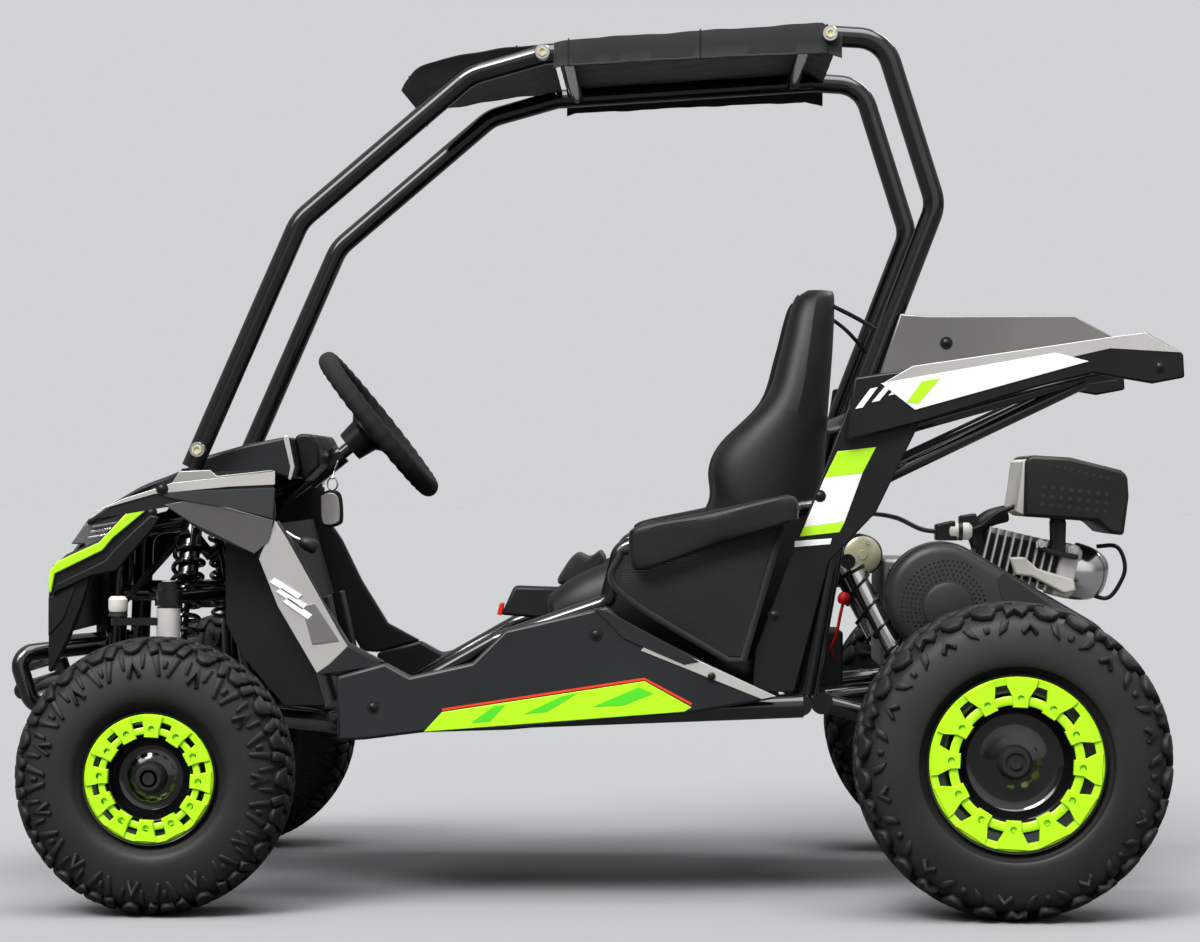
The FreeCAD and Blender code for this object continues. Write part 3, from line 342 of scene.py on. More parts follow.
addFinish("castAlloy", (0.44, 0.44, 0.43), 0.42, metal=0.8, bump=0.5, fine=420, cloud=16, vary=0.25)
addFinish("finAlloy", (0.66, 0.65, 0.62), 0.34, metal=0.45, bump=0.2, fine=420, cloud=30, vary=0.25)
addFinish("redRubber", (0.55, 0.012, 0.008), 0.5, bump=0.1)
addFinish("gloveWhite", (0.62, 0.61, 0.56), 0.5, bump=0.1, vary=0.1)
addFinish("dishBlack", (0.0045, 0.0045, 0.005), 0.1, bump=0.01, coat=0.8, roughVary=0.03)
addFinish("guardBlack", (0.020, 0.0195, 0.018), 0.42, bump=0.3, fine=500)
addFinish("lensClear", (0.13, 0.135, 0.14), 0.34, metal=0.3, bump=0.02, coat=0.2)


def addMeshCloth():
    # an open knit: the gap between threads lets the view through
    material = addFinish("meshCloth", (0.012, 0.012, 0.012), 0.6, bump=0.4, weave=900)
    nodes, links = material.node_tree.nodes, material.node_tree.links
    cloth = [each for each in nodes if each.type == "GROUP" and each.node_tree == weaveGroup][0]
    less = nodes.new("ShaderNodeMath")
    less.operation = "MULTIPLY_ADD"
    less.inputs[1].default_value = -0.75
    less.inputs[2].default_value = 1.0
    links.new(cloth.outputs["Gap"], less.inputs[0])
    links.new(less.outputs[0], nodes["Principled BSDF"].inputs["Alpha"])


addMeshCloth()
slotOf = {"tubeBlack": "frame_black", "blackPlastic": "panel_black", "satinBlack": "panel_black",
          "greyPlastic": "panel_grey", "darkPanel": "panel_grey", "silverPlastic": "panel_grey",
          "lime": "lime", "limeGloss": "rim", "greenDecal": "lime", "whiteDecal": "lime",
          "redDecal": "lime", "rubber": "tyre", "sidewall": "tyre", "vinyl": "vinyl", "canvas": "canvas",
          "webbing": "canvas", "foam": "grip", "chrome": "steel", "zinc": "steel",
          "castAlloy": "engine_metal", "finAlloy": "engine_metal", "redRubber": "panel_black", "gloveWhite": "panel_black",
          "dishBlack": "rim", "guardBlack": "panel_black", "lensClear": "lamp", "meshCloth": "mesh"}


def piece(name, parts, material, **more):
    return addPiece(name, parts, material, slotName=slotOf[material], **more)


# ---- every CAD node that stays gets a finish
nodeFinish = {"frame_black": "tubeBlack", "panel_grey": "greyPlastic", "panel_black": "blackPlastic",
              "lime": "satinBlack", "lamp": "lensClear", "canvas": "canvas", "mesh": "meshCloth",
              "vinyl": "vinyl", "grip": "foam", "engine_metal": "castAlloy", "steel": "chrome",
              "tyre": "rubber", "rim": "dishBlack"}
for part in frame["record"]["subparts"]:
    mesh = frame["nodes"][part["node"]].data
    mesh.materials.clear()
    dark = "knuckle" in part["node"] or "tie_rod" in part["node"]
    mesh.materials.append(finish["tubeBlack" if dark else nodeFinish[part["material_slot"]]])
print("frame and finishes")

# ---- camera, light and floor
view = {"place": (0.1104, -4.9097, 0.5571), "yaw": 1.153, "pitch": 0.184, "roll": -0.232, "lens": 104.46}


def addCamera():
    lens = bpy.data.cameras.new("camera")
    lens.lens = view["lens"]
    lens.sensor_width = 36
    camera = bpy.data.objects.new("camera", lens)
    turn = (Matrix.Rotation(math.radians(view["yaw"]), 4, "Z") @ Matrix.Rotation(math.radians(view["pitch"]), 4, "X")
            @ Matrix.Rotation(math.radians(view["roll"]), 4, "Y") @ Matrix.Rotation(math.radians(90), 4, "X"))
    camera.matrix_world = Matrix.Translation(view["place"]) @ turn
    scene.collection.objects.link(camera)
    scene.camera = camera


studio = {"backdrop": (0.631, 0.645, 0.658), "floorGain": 0.444, "floorDark": 0.10, "ground": 0.03,
          "horizon": 0.13, "sky": 0.55, "patches": (((0.1, -0.25, 0.96), 0.86, 0.95, 5.0),
                                                    ((-0.5, -0.6, 0.62), 0.95, 0.985, 6.0),
                                                    ((0.35, -0.9, 0.2), 0.7, 0.98, 0.55)),
          "suns": (("key", 2.6, 44, -24, 24), ("rim", 0.5, 55, 150, 20))}


def addLight():
    # the world: a dark ground, a dim horizon, a brighter sky and two soft bright patches
    world = bpy.data.worlds.new("studio")
    scene.world = world
    world.use_nodes = True
    nodes, links = world.node_tree.nodes, world.node_tree.links
    place = nodes.new("ShaderNodeTexCoord")
    split = nodes.new("ShaderNodeSeparateXYZ")
    links.new(place.outputs["Generated"], split.inputs[0])
    ramp = nodes.new("ShaderNodeValToRGB")
    span = nodes.new("ShaderNodeMapRange")
    span.inputs["From Min"].default_value = -1
    links.new(split.outputs[2], span.inputs["Value"])
    links.new(span.outputs["Result"], ramp.inputs["Fac"])
    stops = ramp.color_ramp.elements
    stops[0].position, stops[1].position = 0.44, 0.95
    stops[0].color, stops[1].color = (studio["ground"],) * 3 + (1,), (studio["sky"],) * 3 + (1,)
    stops.new(0.54).color = (studio["horizon"],) * 3 + (1,)
    level = nodes.new("ShaderNodeSeparateColor")
    links.new(ramp.outputs["Color"], level.inputs[0])
    light = level.outputs[0]
    for way, start, full, strength in studio["patches"]:
        facing = nodes.new("ShaderNodeVectorMath")
        facing.operation = "DOT_PRODUCT"
        links.new(place.outputs["Generated"], facing.inputs[0])
        facing.inputs[1].default_value = np.array(way) / np.linalg.norm(way)
        soft = nodes.new("ShaderNodeMapRange")
        soft.interpolation_type = "SMOOTHSTEP"
        soft.inputs["From Min"].default_value, soft.inputs["From Max"].default_value = start, full
        soft.inputs["To Max"].default_value = strength
        links.new(facing.outputs["Value"], soft.inputs["Value"])
        light = math2(nodes, links, "ADD", light, soft.outputs["Result"])
    seen = nodes.new("ShaderNodeLightPath")
    pick = nodes.new("ShaderNodeMix")
    pick.data_type = "RGBA"
    links.new(seen.outputs["Is Camera Ray"], pick.inputs["Factor"])
    links.new(light, pick.inputs["A"])
    pick.inputs["B"].default_value = studio["backdrop"] + (1,)
    links.new(pick.outputs["Result"], nodes["Background"].inputs["Color"])
    for name, strength, tilt, around, width in studio["suns"]:
        lamp = bpy.data.lights.new(name, "SUN")
        lamp.energy = strength
        lamp.angle = math.radians(width)
        sun = bpy.data.objects.new(name, lamp)
        sun.rotation_euler = (math.radians(tilt), 0, math.radians(around))
        scene.collection.objects.link(sun)
    scene.view_settings.view_transform = "Standard"


def addFloor():
    # pale to the camera, dark to the light that would bounce off it on to the undersides
    mesh = bpy.data.meshes.new("floor")
    reach = 60.0
    mesh.from_pydata([(-reach, -reach, 0), (reach, -reach, 0), (reach, reach, 0), (-reach, reach, 0)], [],
                     [(0, 1, 2, 3)])
    floor = bpy.data.objects.new("floor", mesh)
    scene.collection.objects.link(floor)
    material = bpy.data.materials.new("floorShade")
    material.use_nodes = True
    nodes, links = material.node_tree.nodes, material.node_tree.links
    shader = nodes["Principled BSDF"]
    pick = nodes.new("ShaderNodeMix")
    pick.data_type = "RGBA"
    links.new(nodes.new("ShaderNodeLightPath").outputs["Is Camera Ray"], pick.inputs["Factor"])
    pick.inputs["A"].default_value = (studio["floorDark"],) * 3 + (1,)
    pick.inputs["B"].default_value = [part * studio["floorGain"] for part in studio["backdrop"]] + [1]
    links.new(pick.outputs["Result"], shader.inputs["Base Color"])
    shader.inputs["Roughness"].default_value = 1
    shader.inputs["Specular IOR Level"].default_value = 0
    mesh.materials.append(material)


addCamera()
addLight()
addFloor()

# ---- tyres: a smooth carcass with blocks laid over its section
# each block: its corners as (distance over the section from the crown, distance along), and its height
tyreSizes = {
    "front": {"rimEdge": 84.5, "lug": 8, "repeats": 11, "body": "%s_front_wheel", "blocks": (
        (((-1, 10), (12, 5), (15, 20), (-1, 26)), 1.0, 4), (((19, 1), (35, -4), (38, 13), (22, 19)), 1.0, 4),
        (((41, 10), (41, 40), (60, 33), (60, 17)), 1.0, 1), (((41, -6), (41, 6), (60, 13), (64, 1)), 1.0, 1),
        (((41, 44), (41, 56), (64, 49), (60, 37)), 1.0, 1), (((65, 3), (62, 13), (90, 21), (91, 15)), 0.5, 1),
        (((62, 37), (65, 47), (91, 35), (90, 29)), 0.5, 1), (((70, 21), (70, 29), (80, 28), (80, 22)), 0.45, 1),
        (((41, 61), (39, 76), (41, 91), (58, 86), (62, 76), (58, 66)), 1.0, 1),
        (((65, 76), (90, 89), (93, 83), (78, 76), (93, 69), (90, 63)), 0.5, 1),
        (((63, 88), (61, 96), (80, 94), (82, 89)), 0.45, 1), (((61, 56), (63, 64), (82, 63), (80, 58)), 0.45, 1))},
    "rear": {"rimEdge": 113.5, "lug": 9.5, "repeats": 10, "body": "rear_axle", "blocks": (
        (((-1, 20), (10, 11), (18, 20), (17, 34), (6, 42), (-1, 37)), 1.0, 3),
        (((22, 5), (40, -2), (44, 14), (39, 26), (25, 31), (20, 18)), 1.0, 3),
        (((48, 26), (46, 46), (60, 57), (74, 47), (72, 30), (58, 22)), 1.0, 1),
        (((48, 70), (46, 88), (58, 101), (74, 93), (71, 77), (60, 66)), 1.0, 1),
        (((49, 110), (46, 131), (60, 143), (73, 134), (63, 124), (73, 112)), 1.0, 1),
        (((78, 18), (91, 32), (96, 28), (87, 18), (96, 8), (91, 4)), 0.45, 1),
        (((78, 47), (77, 58), (96, 67), (89, 53)), 0.45, 1), (((83, 76), (83, 86), (91, 85), (91, 77)), 0.4, 1),
        (((77, 104), (78, 116), (89, 111), (96, 97)), 0.45, 1))},
}


def tyreSection(radius, half, rimEdge):
    # half section from the crown centre round the shoulder and down the wall to the rim: (out, radius)
    crown = half - 30
    corners = [(0, radius), (crown * 0.55, radius - 0.6), (crown, radius - 3), (half - 12, radius - 12),
               (half - 4, radius - 29), (half, radius - 52), (half - 1.5, radius - 68),
               (half - 9, rimEdge + 9), (half - 17, rimEdge)]
    return smoothLine(corners, 6)


def treadBlocks(section, radius, corners, height, turns):
    # one block on the carcass, its foot sunk and its top drawn in, turned to every place it stands
    over, along = np.array(corners, dtype=float).T
    length = np.concatenate([[0], np.cumsum(np.linalg.norm(np.diff(section, axis=0), axis=1))])
    rings = []
    for lift, inset in ((-2.0, 0), (height - 0.8, 0.6), (height, 1.6)):
        reach = 1 - inset / 10
        at = over.mean() + (over - over.mean()) * reach
        angle = (along.mean() + (along - along.mean()) * reach) / radius
        out, up = [np.interp(np.abs(at), length, section[:, k]) for k in (0, 1)]
        outOn, upOn = [np.interp(np.abs(at) + 3, length, section[:, k]) for k in (0, 1)]
        slope = np.hypot(outOn - out, upOn - up)
        y = (out - (upOn - up) / slope * lift) * np.where(at < 0, -1, 1)
        r = up + (outOn - out) / slope * lift
        angle = angle[None] + np.asarray(turns)[:, None]
        rings.append(np.stack([r * np.sin(angle), np.broadcast_to(y, angle.shape), r * np.cos(angle)], -1))
    points = np.stack(rings, 1)      # places x 3 x corners x 3
    places, _, count, _ = points.shape
    start = np.arange(places)[:, None] * 3 * count
    i = np.arange(count)
    quad = np.stack([i, (i + 1) % count, (i + 1) % count + count, i + count], -1)
    quads = (start[..., None] + np.concatenate([quad, quad + count])[None]).reshape(-1, 4)
    return points.reshape(-1, 3), [quads, start + i[None] + 2 * count, start + i[None, ::-1]]


def addTyre(side, sign, kind):
    size = tyreSizes[kind]
    node = "%s_%s_tyre" % (side, kind)
    low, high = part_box(node)
    centre = middle(node)
    radius, half = (high[2] - low[2]) * 500, (high[1] - low[1]) * 500
    section = tyreSection(radius - size["lug"], half - 1.5, size["rimEdge"])
    inner = np.array([(half - 20, size["rimEdge"] - 9), (0, size["rimEdge"] - 11)])
    whole = np.vstack([section[::-1] * [-1, 1], section[1:], inner, inner[:1] * [-1, 1]])
    body = size["body"] % side if "%" in size["body"] else size["body"]
    walls = [lathe(np.vstack([whole, whole[:1]]), centre, 120)]
    for out, at in ((half - 7.5, size["rimEdge"] + 12), (half - 3.6, size["rimEdge"] + 24)):
        ring = np.array([(out - 4, at), (out + 0.2, at + 1), (out + 0.2, at + 2.4), (out - 4, at + 3.4)])
        walls += [lathe(ring, centre, 96), lathe(ring * [-1, 1], centre, 96)]
    piece(node + "_carcass", walls, "sidewall", body=body, replaces=(node,))
    parts = []
    for corners, tall, share in size["blocks"]:
        count = size["repeats"] * share
        for way in (-1, 1):
            turns = (np.arange(count) + (0.5 if way > 0 else 0)) * 2 * math.pi / count
            verts, faces = treadBlocks(section, radius, corners, size["lug"] * tall, turns)
            parts.append((verts * [1, way, 1] + centre, faces))
    piece(node + "_lugs", parts, "rubber", body=body, smooth=False)


# ---- rims: a black dish, a lime clamping ring with bolts, a rubber cap
# block: the half outline of one bolt block as (half width, radius); window: where the opening starts and ends
rimSizes = {
    "front": {"ringOut": 82.5, "band": (57, 65.5), "outer": 73.5, "bolt": 63, "hole": 4.4, "dishDeep": 34,
              "cap": 18, "capOut": 2, "block": ((8.8, 52.3), (9.5, 62), (12.5, 73), (14, 80))},
    "rear": {"ringOut": 111, "band": (75, 86.5), "outer": 101, "bolt": 83, "hole": 4.6, "dishDeep": 44,
             "cap": 20, "capOut": -16, "block": ((9.3, 71.5), (10.5, 84), (19, 99), (21, 108))},
}


def boltBlock(centre, sign, size, turn, top, under):
    # rings round the bolt: the block's outline, drawn in at the top, then the hole down to its floor
    half = np.array(size["block"])
    outline = np.vstack([half * [-1, 1], half[::-1]])
    spot = np.array([0, size["bolt"]])
    corners = np.arctan2(*(outline - spot).T)
    angles = np.sort(np.concatenate([corners, np.linspace(-np.pi, np.pi, 24, endpoint=False)]))
    way = np.stack([np.sin(angles), np.cos(angles)], -1)
    start, end = outline - spot, np.roll(outline, -1, 0) - spot
    run = end - start
    cross = way[:, None, 0] * run[None, :, 1] - way[:, None, 1] * run[None, :, 0]
    cross = np.where(np.abs(cross) < 1e-9, 1e-9, cross)
    far = (start[None, :, 0] * run[None, :, 1] - start[None, :, 1] * run[None, :, 0]) / cross
    share = (start[None, :, 0] * way[:, None, 1] - start[None, :, 1] * way[:, None, 0]) / cross
    far = np.where((far > 0) & (share > -1e-6) & (share < 1 + 1e-6), far, 1e9).min(1)
    rings = [(far, under), (far, top - 1), (far - 1, top), (far * 0 + size["hole"], top),
             (far * 0 + size["hole"], under + 1), (far * 0 + 0.1, under + 1)]
    points = []
    for reach, y in rings:
        flat = spot + way * reach[:, None]
        x = flat[:, 0] * math.cos(turn) + flat[:, 1] * math.sin(turn)
        z = flat[:, 1] * math.cos(turn) - flat[:, 0] * math.sin(turn)
        points.append(np.stack([x, np.full(len(x), y * sign), z], -1))
    verts, faces = grid(np.stack(points), False, True)
    return verts + centre, faces


def addRim(side, sign, kind):
    size = rimSizes[kind]
    node, tyre = "%s_%s_rim" % (side, kind), "%s_%s_tyre" % (side, kind)
    centre = middle(tyre)
    face = abs((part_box(node)[0] if sign < 0 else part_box(node)[1])[1] * 1000) - abs(centre[1])
    body = tyreSizes[kind]["body"] % side if kind == "front" else "rear_axle"
    ringOut, outer = size["ringOut"], size["outer"]
    low, high = size["band"]
    top, under = face, face - 9

    def out(profile, turns=96):
        return lathe([(along * sign, radius) for along, radius in profile], centre, turns)
    rings = [out([(under, ringOut - 0.5), (top - 3.5, ringOut), (top - 2, ringOut - 1.5), (top - 3, outer),
                  (under, outer), (under, ringOut - 0.5)]),
             out([(under - 2, high), (top - 4.5, high), (top - 3.6, high - 1.2), (top - 3.6, low + 1.2),
                  (top - 4.5, low), (under - 2, low), (under - 2, high)])]
    bolts = []
    for index in range(12):
        turn = 2 * math.pi * (index + 0.1) / 12
        rings.append(boltBlock(centre, sign, size, turn, top, under))
        for way in (-1, 1):      # the outer corners of each window are filled, so that it comes to a point
            side2 = turn + way * math.pi / 12
            flat = np.array([(size["block"][2][0] * 0.5, outer + 1), (12, outer + 1), (13, outer - 8)]) * [-way, 1]
            x = flat[:, 0] * math.cos(side2) + flat[:, 1] * math.sin(side2)
            z = flat[:, 1] * math.cos(side2) - flat[:, 0] * math.sin(side2)
            verts, faces = slab(np.stack([x, z], -1), under * sign, (top - 3) * sign)
            rings.append((verts + centre, faces))
        spot = centre + np.array([math.sin(turn), 0, math.cos(turn)]) * size["bolt"]
        bolts.append(lathe([((under + 3.5) * sign, 0.1), ((under + 3.5) * sign, 2.6), ((under + 3) * sign, 3.4),
                            (under * sign, 3.4)], spot, 6))
    piece(node + "_ring", rings, "limeGloss", body=body)
    piece(node + "_bolts", bolts, "satinBlack", body=body)
    deep = face - size["dishDeep"]
    dish = out([(top - 5, ringOut + 0.3), (top - 2, ringOut + 1), (top - 1.5, ringOut + 2.4),
                (top - 4, ringOut + 3), (under - 4, ringOut - 2), (under - 5, outer), (under - 9, high - 2),
                (under - 12, low), (under - 18, low - 3), (deep + 8, low - 7), (deep + 2, low - 13),
                (deep, low - 20), (deep + 1, size["cap"] + 12), (deep + 6, size["cap"] + 6), (deep + 6, 4),
                (deep - 5, 4), (deep - 5, low - 14), (under - 20, low + 1), (under - 12, high), (under - 8, ringOut - 6),
                (top - 8, ringOut - 3), (top - 5, ringOut + 0.3)])
    barrel = out([(under - 8, ringOut - 8), (6 - face, ringOut - 8), (6 - face, ringOut), (2 - face, ringOut),
                  (2 - face, ringOut - 12), (under - 10, ringOut - 12), (under - 8, ringOut - 8)])
    piece(node + "_dish", [dish, barrel], "dishBlack", body=body, replaces=(node,))
    cap, capTop = size["cap"], face + size["capOut"]
    rubber = [out([(capTop - 1, 0.1), (capTop, 7), (capTop, 7.6), (capTop - 3, 8), (capTop - 3, cap * 0.6),
                   (capTop - 0.6, cap * 0.66), (capTop - 0.6, cap - 3), (capTop - 3, cap - 0.6),
                   (capTop - 8, cap), (deep + 14, cap + 1.5), (deep + 5, cap + 3), (deep + 5, 0.1)], 48)]
    piece(node + "_cap", rubber, "foam", body=body)


for side, sign in sideSigns:
    for kind in ("front", "rear"):
        addTyre(side, sign, kind)
        addRim(side, sign, kind)
print("wheels")

# ---- body panels: rounded copies of the CAD shells, then strips and fixings
for node, material, width in (
        ("nose_panel", "darkPanel", 2), ("wheel_liners", "blackPlastic", 1),
        ("nose_sides", "satinBlack", 4), ("left_fender", "darkPanel", 1.4), ("right_fender", "darkPanel", 1.4),
        ("left_leg_panel", "darkPanel", 3), ("right_leg_panel", "darkPanel", 3),
        ("left_skirt", "darkPanel", 4), ("right_skirt", "darkPanel", 4), ("pillar_plates", "satinBlack", 1.6),
        ("tail_uppers", "greyPlastic", 2), ("tail_lowers", "satinBlack", 3), ("battery", "blackPlastic", 3),
        ("floor_pan", "blackPlastic", 1), ("pedals", "satinBlack", 2), ("headlights", "lensClear", 2)):
    softenNode(node, material, width)


def onSide(outline, sign, inner, thick):
    inner = inner * sign
    return slab(outline, inner, inner + thick * sign)


def sideFace(node):      # how far out a paired node's outer face stands
    low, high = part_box(node)
    return max(abs(low[1]), abs(high[1])) * 1000


def relative(points, anchor):
    return [(anchor + x, z) for x, z in points]


def addStrips(name, material, points, face, thick=1.6, bevel=0.6, signs=(-1, 1)):
    piece(name, [onSide(points, sign, face - 0.4, thick + 0.4) for sign in signs], material, bevel=bevel)


skirtFace = sideFace("left_skirt")
fenderFace = sideFace("left_fender")
legFace = sideFace("left_leg_panel")
plateFace = sideFace("pillar_plates")
upperFace = sideFace("tail_uppers")
lowerFace = sideFace("tail_lowers")
# each strip: finish, its face, how far it stands out at each corner, its outline from the front axle
strips = [
    ("skirt_sticker", "lime", skirtFace, 0.7, [(338, 228), (362, 254), (628, 296), (690, 262), (680, 256)]),
    ("skirt_strip", "silverPlastic", skirtFace, 1.4, [(623, 336), (636, 352), (801, 277), (782, 273)]),
    ("skirt_ridge", "darkPanel", skirtFace, 2.5, [(560, 392), (579, 388), (700, 322), (680, 318), (600, 352)]),
    ("fender_strip", "silverPlastic", fenderFace, 2.2, [(-105, 512), (-60, 533), (-19, 546), (4, 554), (140, 570),
                                                        (140, 552), (80, 549), (-19, 539), (-81, 521)]),
    ("fender_deck", "silverPlastic", fenderFace, (2.2, 4, 4, 3, 4, 2.2),
     [(4, 554), (14, 569), (54, 571), (64, 563), (134, 571), (140, 570)]),
    ("fender_dark", "darkPanel", fenderFace, (1, 2, 2, 5, 7, 4),
     [(-19, 539), (23, 543), (140, 548), (138, 507), (81, 521), (10, 532)]),
    ("fender_light", "greyPlastic", fenderFace, (0.6, 0.6, 0.6, 0.6, 1, 5, 7, 4),
     [(-6, 525), (31, 501), (68, 483), (113, 461), (132, 477), (138, 505), (81, 521), (31, 532)]),
    ("leg_strip", "silverPlastic", legFace, (0.8, 1, 2, 2, 2, 0.8, 0.8, 0.8),
     [(119, 454), (140, 505), (157, 479), (228, 353), (237, 340), (212, 315), (196, 304), (144, 392)]),
    ("leg_facet", "greyPlastic", legFace, 2.4, [(176, 392), (193, 396), (226, 346), (190, 342)]),
    ("leg_foot", "darkPanel", legFace, 1.4, [(196, 304), (212, 315), (237, 340), (284, 315), (199, 302)]),
    ("plate_lime_upper", "lime", plateFace, 0.6, [(882, 599), (933, 605), (915, 570), (865, 564)]),
    ("plate_white", "whiteDecal", plateFace, 0.6, [(865, 564), (915, 570), (892, 506), (838, 499)]),
    ("plate_lime_lower", "lime", plateFace, 0.6, [(838, 499), (892, 506), (885, 492), (832, 486)]),
    ("plate_line", "whiteDecal", plateFace, 0.6, [(826, 480), (875, 484), (873, 476), (825, 472)]),
    ("tail_strip", "silverPlastic", lowerFace, 1.2, [(942, 690), (980, 712), (1246, 752), (1286, 757), (1332, 731),
                                                     (1240, 736), (1040, 690)]),
    ("tail_white", "whiteDecal", lowerFace, 1.9, [(938, 689), (1168, 730), (1212, 719), (983, 654)]),
]
for name, material, face, thick, points in strips:
    addStrips(name, material, relative(points, frontX), face, np.asarray(thick))


def band(points, width):      # a line with a width, as an outline
    line = np.asarray(points, dtype=float)
    ahead = np.gradient(line, axis=0)
    ahead /= np.linalg.norm(ahead, axis=1)[:, None]
    beside = np.stack([-ahead[:, 1], ahead[:, 0]], -1) * width / 2
    return np.vstack([line + beside, (line - beside)[::-1]])


stickerEdge = relative([(362, 257), (628, 299), (690, 266)], frontX)
addStrips("sticker_red_line", "redDecal", band(stickerEdge, 3), skirtFace, 1.1, 0)
shards = [[(470, 252), (520, 276), (540, 280), (500, 255)], [(560, 262), (620, 288), (640, 280), (600, 264)],
          [(400, 240), (430, 262), (445, 264), (425, 242)]]
for index, shard in enumerate(shards):
    addStrips("sticker_shard_%d" % index, "greenDecal", relative(shard, frontX), skirtFace, 1.0, 0)
tailBars = [[(-196 + 22 * i, 655 + 9 * i), (-186 + 22 * i, 657 + 9 * i), (-166 + 22 * i, 684 + 6 * i),
             (-176 + 22 * i, 682 + 6 * i)] for i in range(3)]
for index, bar in enumerate(tailBars):
    addStrips("tail_bar_mark_%d" % index, "whiteDecal", relative(bar, rearX), lowerFace, 1.5, 0)
addStrips("tail_lime_mark", "lime", relative([(-128, 664), (-108, 692), (-84, 696), (-112, 663)], rearX),
          lowerFace, 2.3, 0)
for index in range(3):
    mark = [(133 + 9 * index, 424 - 13 * index), (140 + 9 * index, 429 - 13 * index),
            (176 + 7 * index, 407 - 13 * index), (170 + 7 * index, 401 - 13 * index)]
    addStrips("leg_slash_%d" % index, "whiteDecal", relative(mark, frontX), legFace, 2.6, 0)


def addBolts():
    # round black heads with a washer on the panels, zinc nuts with a washer where the cage is bolted
    spots = [(frontX + 271, 260, skirtFace), (frontX + 564, 357, skirtFace + 0.5), (rearX - 384, 303, skirtFace),
             (frontX - 9, 546, fenderFace + 2), (frontX - 42, 513, sideFace("nose_sides")),
             (rearX - 75, 743, upperFace), (rearX + 205, 712, lowerFace), (rearX - 241, 540, plateFace),
             (rearX - 301, 382, plateFace)]
    heads, washers, plates, nuts = [], [], [], []
    for sign in (-1, 1):
        for x, z, face in spots:
            heads.append(lathe([(face * sign, 0.1), ((face + 4.5) * sign, 0.1), ((face + 4.2) * sign, 2.5),
                                ((face + 3) * sign, 5), (face * sign, 5.5)], (x, 0, z), 20))
            washers.append(lathe([(face * sign, 4), ((face + 1) * sign, 4), ((face + 1) * sign, 8),
                                  (face * sign, 8.5), (face * sign, 4)], (x, 0, z), 24))
        for x, z, face in ((frontX + 33, 598, 301), (frontX + 489, 1127, 301), (rearX - 230, 1152, 301)):
            plates.append(lathe([((face - 14) * sign, 0.1), ((face - 14) * sign, 10.5), (face * sign, 10.5),
                                 ((face + 1.5) * sign, 9.5), ((face + 1.5) * sign, 0.1)], (x, 0, z), 28))
            nuts.append(lathe([((face + 1) * sign, 6.8), ((face + 7) * sign, 6.8), ((face + 7) * sign, 4.2),
                               ((face + 5) * sign, 3.8), ((face + 5) * sign, 0.1)], (x, 0, z), 6))
    piece("panel_bolts", heads, "satinBlack")
    piece("panel_washers", washers, "blackPlastic")
    piece("cage_washers", plates, "chrome")
    piece("cage_nuts", nuts, "zinc")


addBolts()


def addNoseTrim():
    face = sideFace("nose_sides")
    trims = (("nose_brow", "lime", face - 1, 6, 1.5, [(-61, 528), (-44, 520), (-93, 479), (-107, 462), (-172, 430),
                                                      (-177, 403), (-181, 410), (-179, 434), (-169, 447), (-112, 473)]),
             ("nose_band", "satinBlack", face - 1, 8, 2.5, [(-42, 511), (-29, 507), (-38, 492), (-88, 434), (-122, 427),
                                                            (-169, 405), (-175, 400), (-170, 417), (-104, 449), (-90, 466)]),
             ("nose_cheeks", "blackPlastic", face - 1, 3, 1.2, [(-181, 398), (-144, 413), (-160, 369), (-181, 346)]),
             ("lamp_glass", "lensClear", sideFace("headlights") - 1, 3, 1.2, [(-138, 496), (-76, 513), (-93, 486),
                                                                              (-135, 466)]))
    for name, material, inner, thick, edge, points in trims:
        piece(name, [onSide(relative(points, frontX), sign, inner, thick) for sign in (-1, 1)], material, bevel=edge)
    bars = []
    for sign in (-1, 1):
        for step in range(3):
            z = 476 + 8 * step
            bar = relative([(-132 + 3 * step, z), (-92 + 5 * step, z + 8), (-90 + 5 * step, z + 11),
                            (-131 + 3 * step, z + 4)], frontX)
            bars.append(onSide(bar, sign, sideFace("headlights") + 1.6, 1.4))
    piece("lamp_ribs", bars, "chrome", bevel=0.4)


def addCowl():
    # the skin runs from the nose up to the pillars, then the cowl's cheeks and the instrument box
    line = smoothLine(relative([(-131, 507), (-97, 530), (-59, 552), (-25, 565), (4, 577)], frontX), 5)
    across = np.linspace(-1, 1, 25)
    half = np.linspace(199, 226, len(line))
    points = np.stack(np.broadcast_arrays(line[:, 0][:, None], half[:, None] * across,
                                          line[:, 1][:, None] - 7 * np.abs(across) ** 5), -1)
    piece("hood_skin", [grid(points)], "darkPanel", solid=5, replaces=("hood",))
    shell = relative([(10, 575), (35, 590), (94, 607), (146, 617), (154, 576), (149, 559), (128, 566), (55, 564)],
                     frontX)
    piece("cowl_shell", [slab(shell, -238, 238)], "darkPanel", bevel=4, replaces=("dash_cowl",))
    piece("cowl_edge", [onSide(relative([(140, 617), (147, 618.5), (156, 576), (151, 558), (147, 560), (150, 576)],
                                        frontX), sign, 236, 4) for sign in (-1, 1)], "silverPlastic", bevel=0.8)
    box = relative([(146, 618), (155, 622), (170, 621), (179, 604), (181, 578), (157, 555)], frontX)
    piece("instrument_box", [slab(box, -150, 150)], "blackPlastic", bevel=4)


addCowl()
addNoseTrim()
print("panels")


# ---- seat: closed sections carried from the front of the base up to the head
seat = {"steps": 6, "across": 61, "behind": 21}
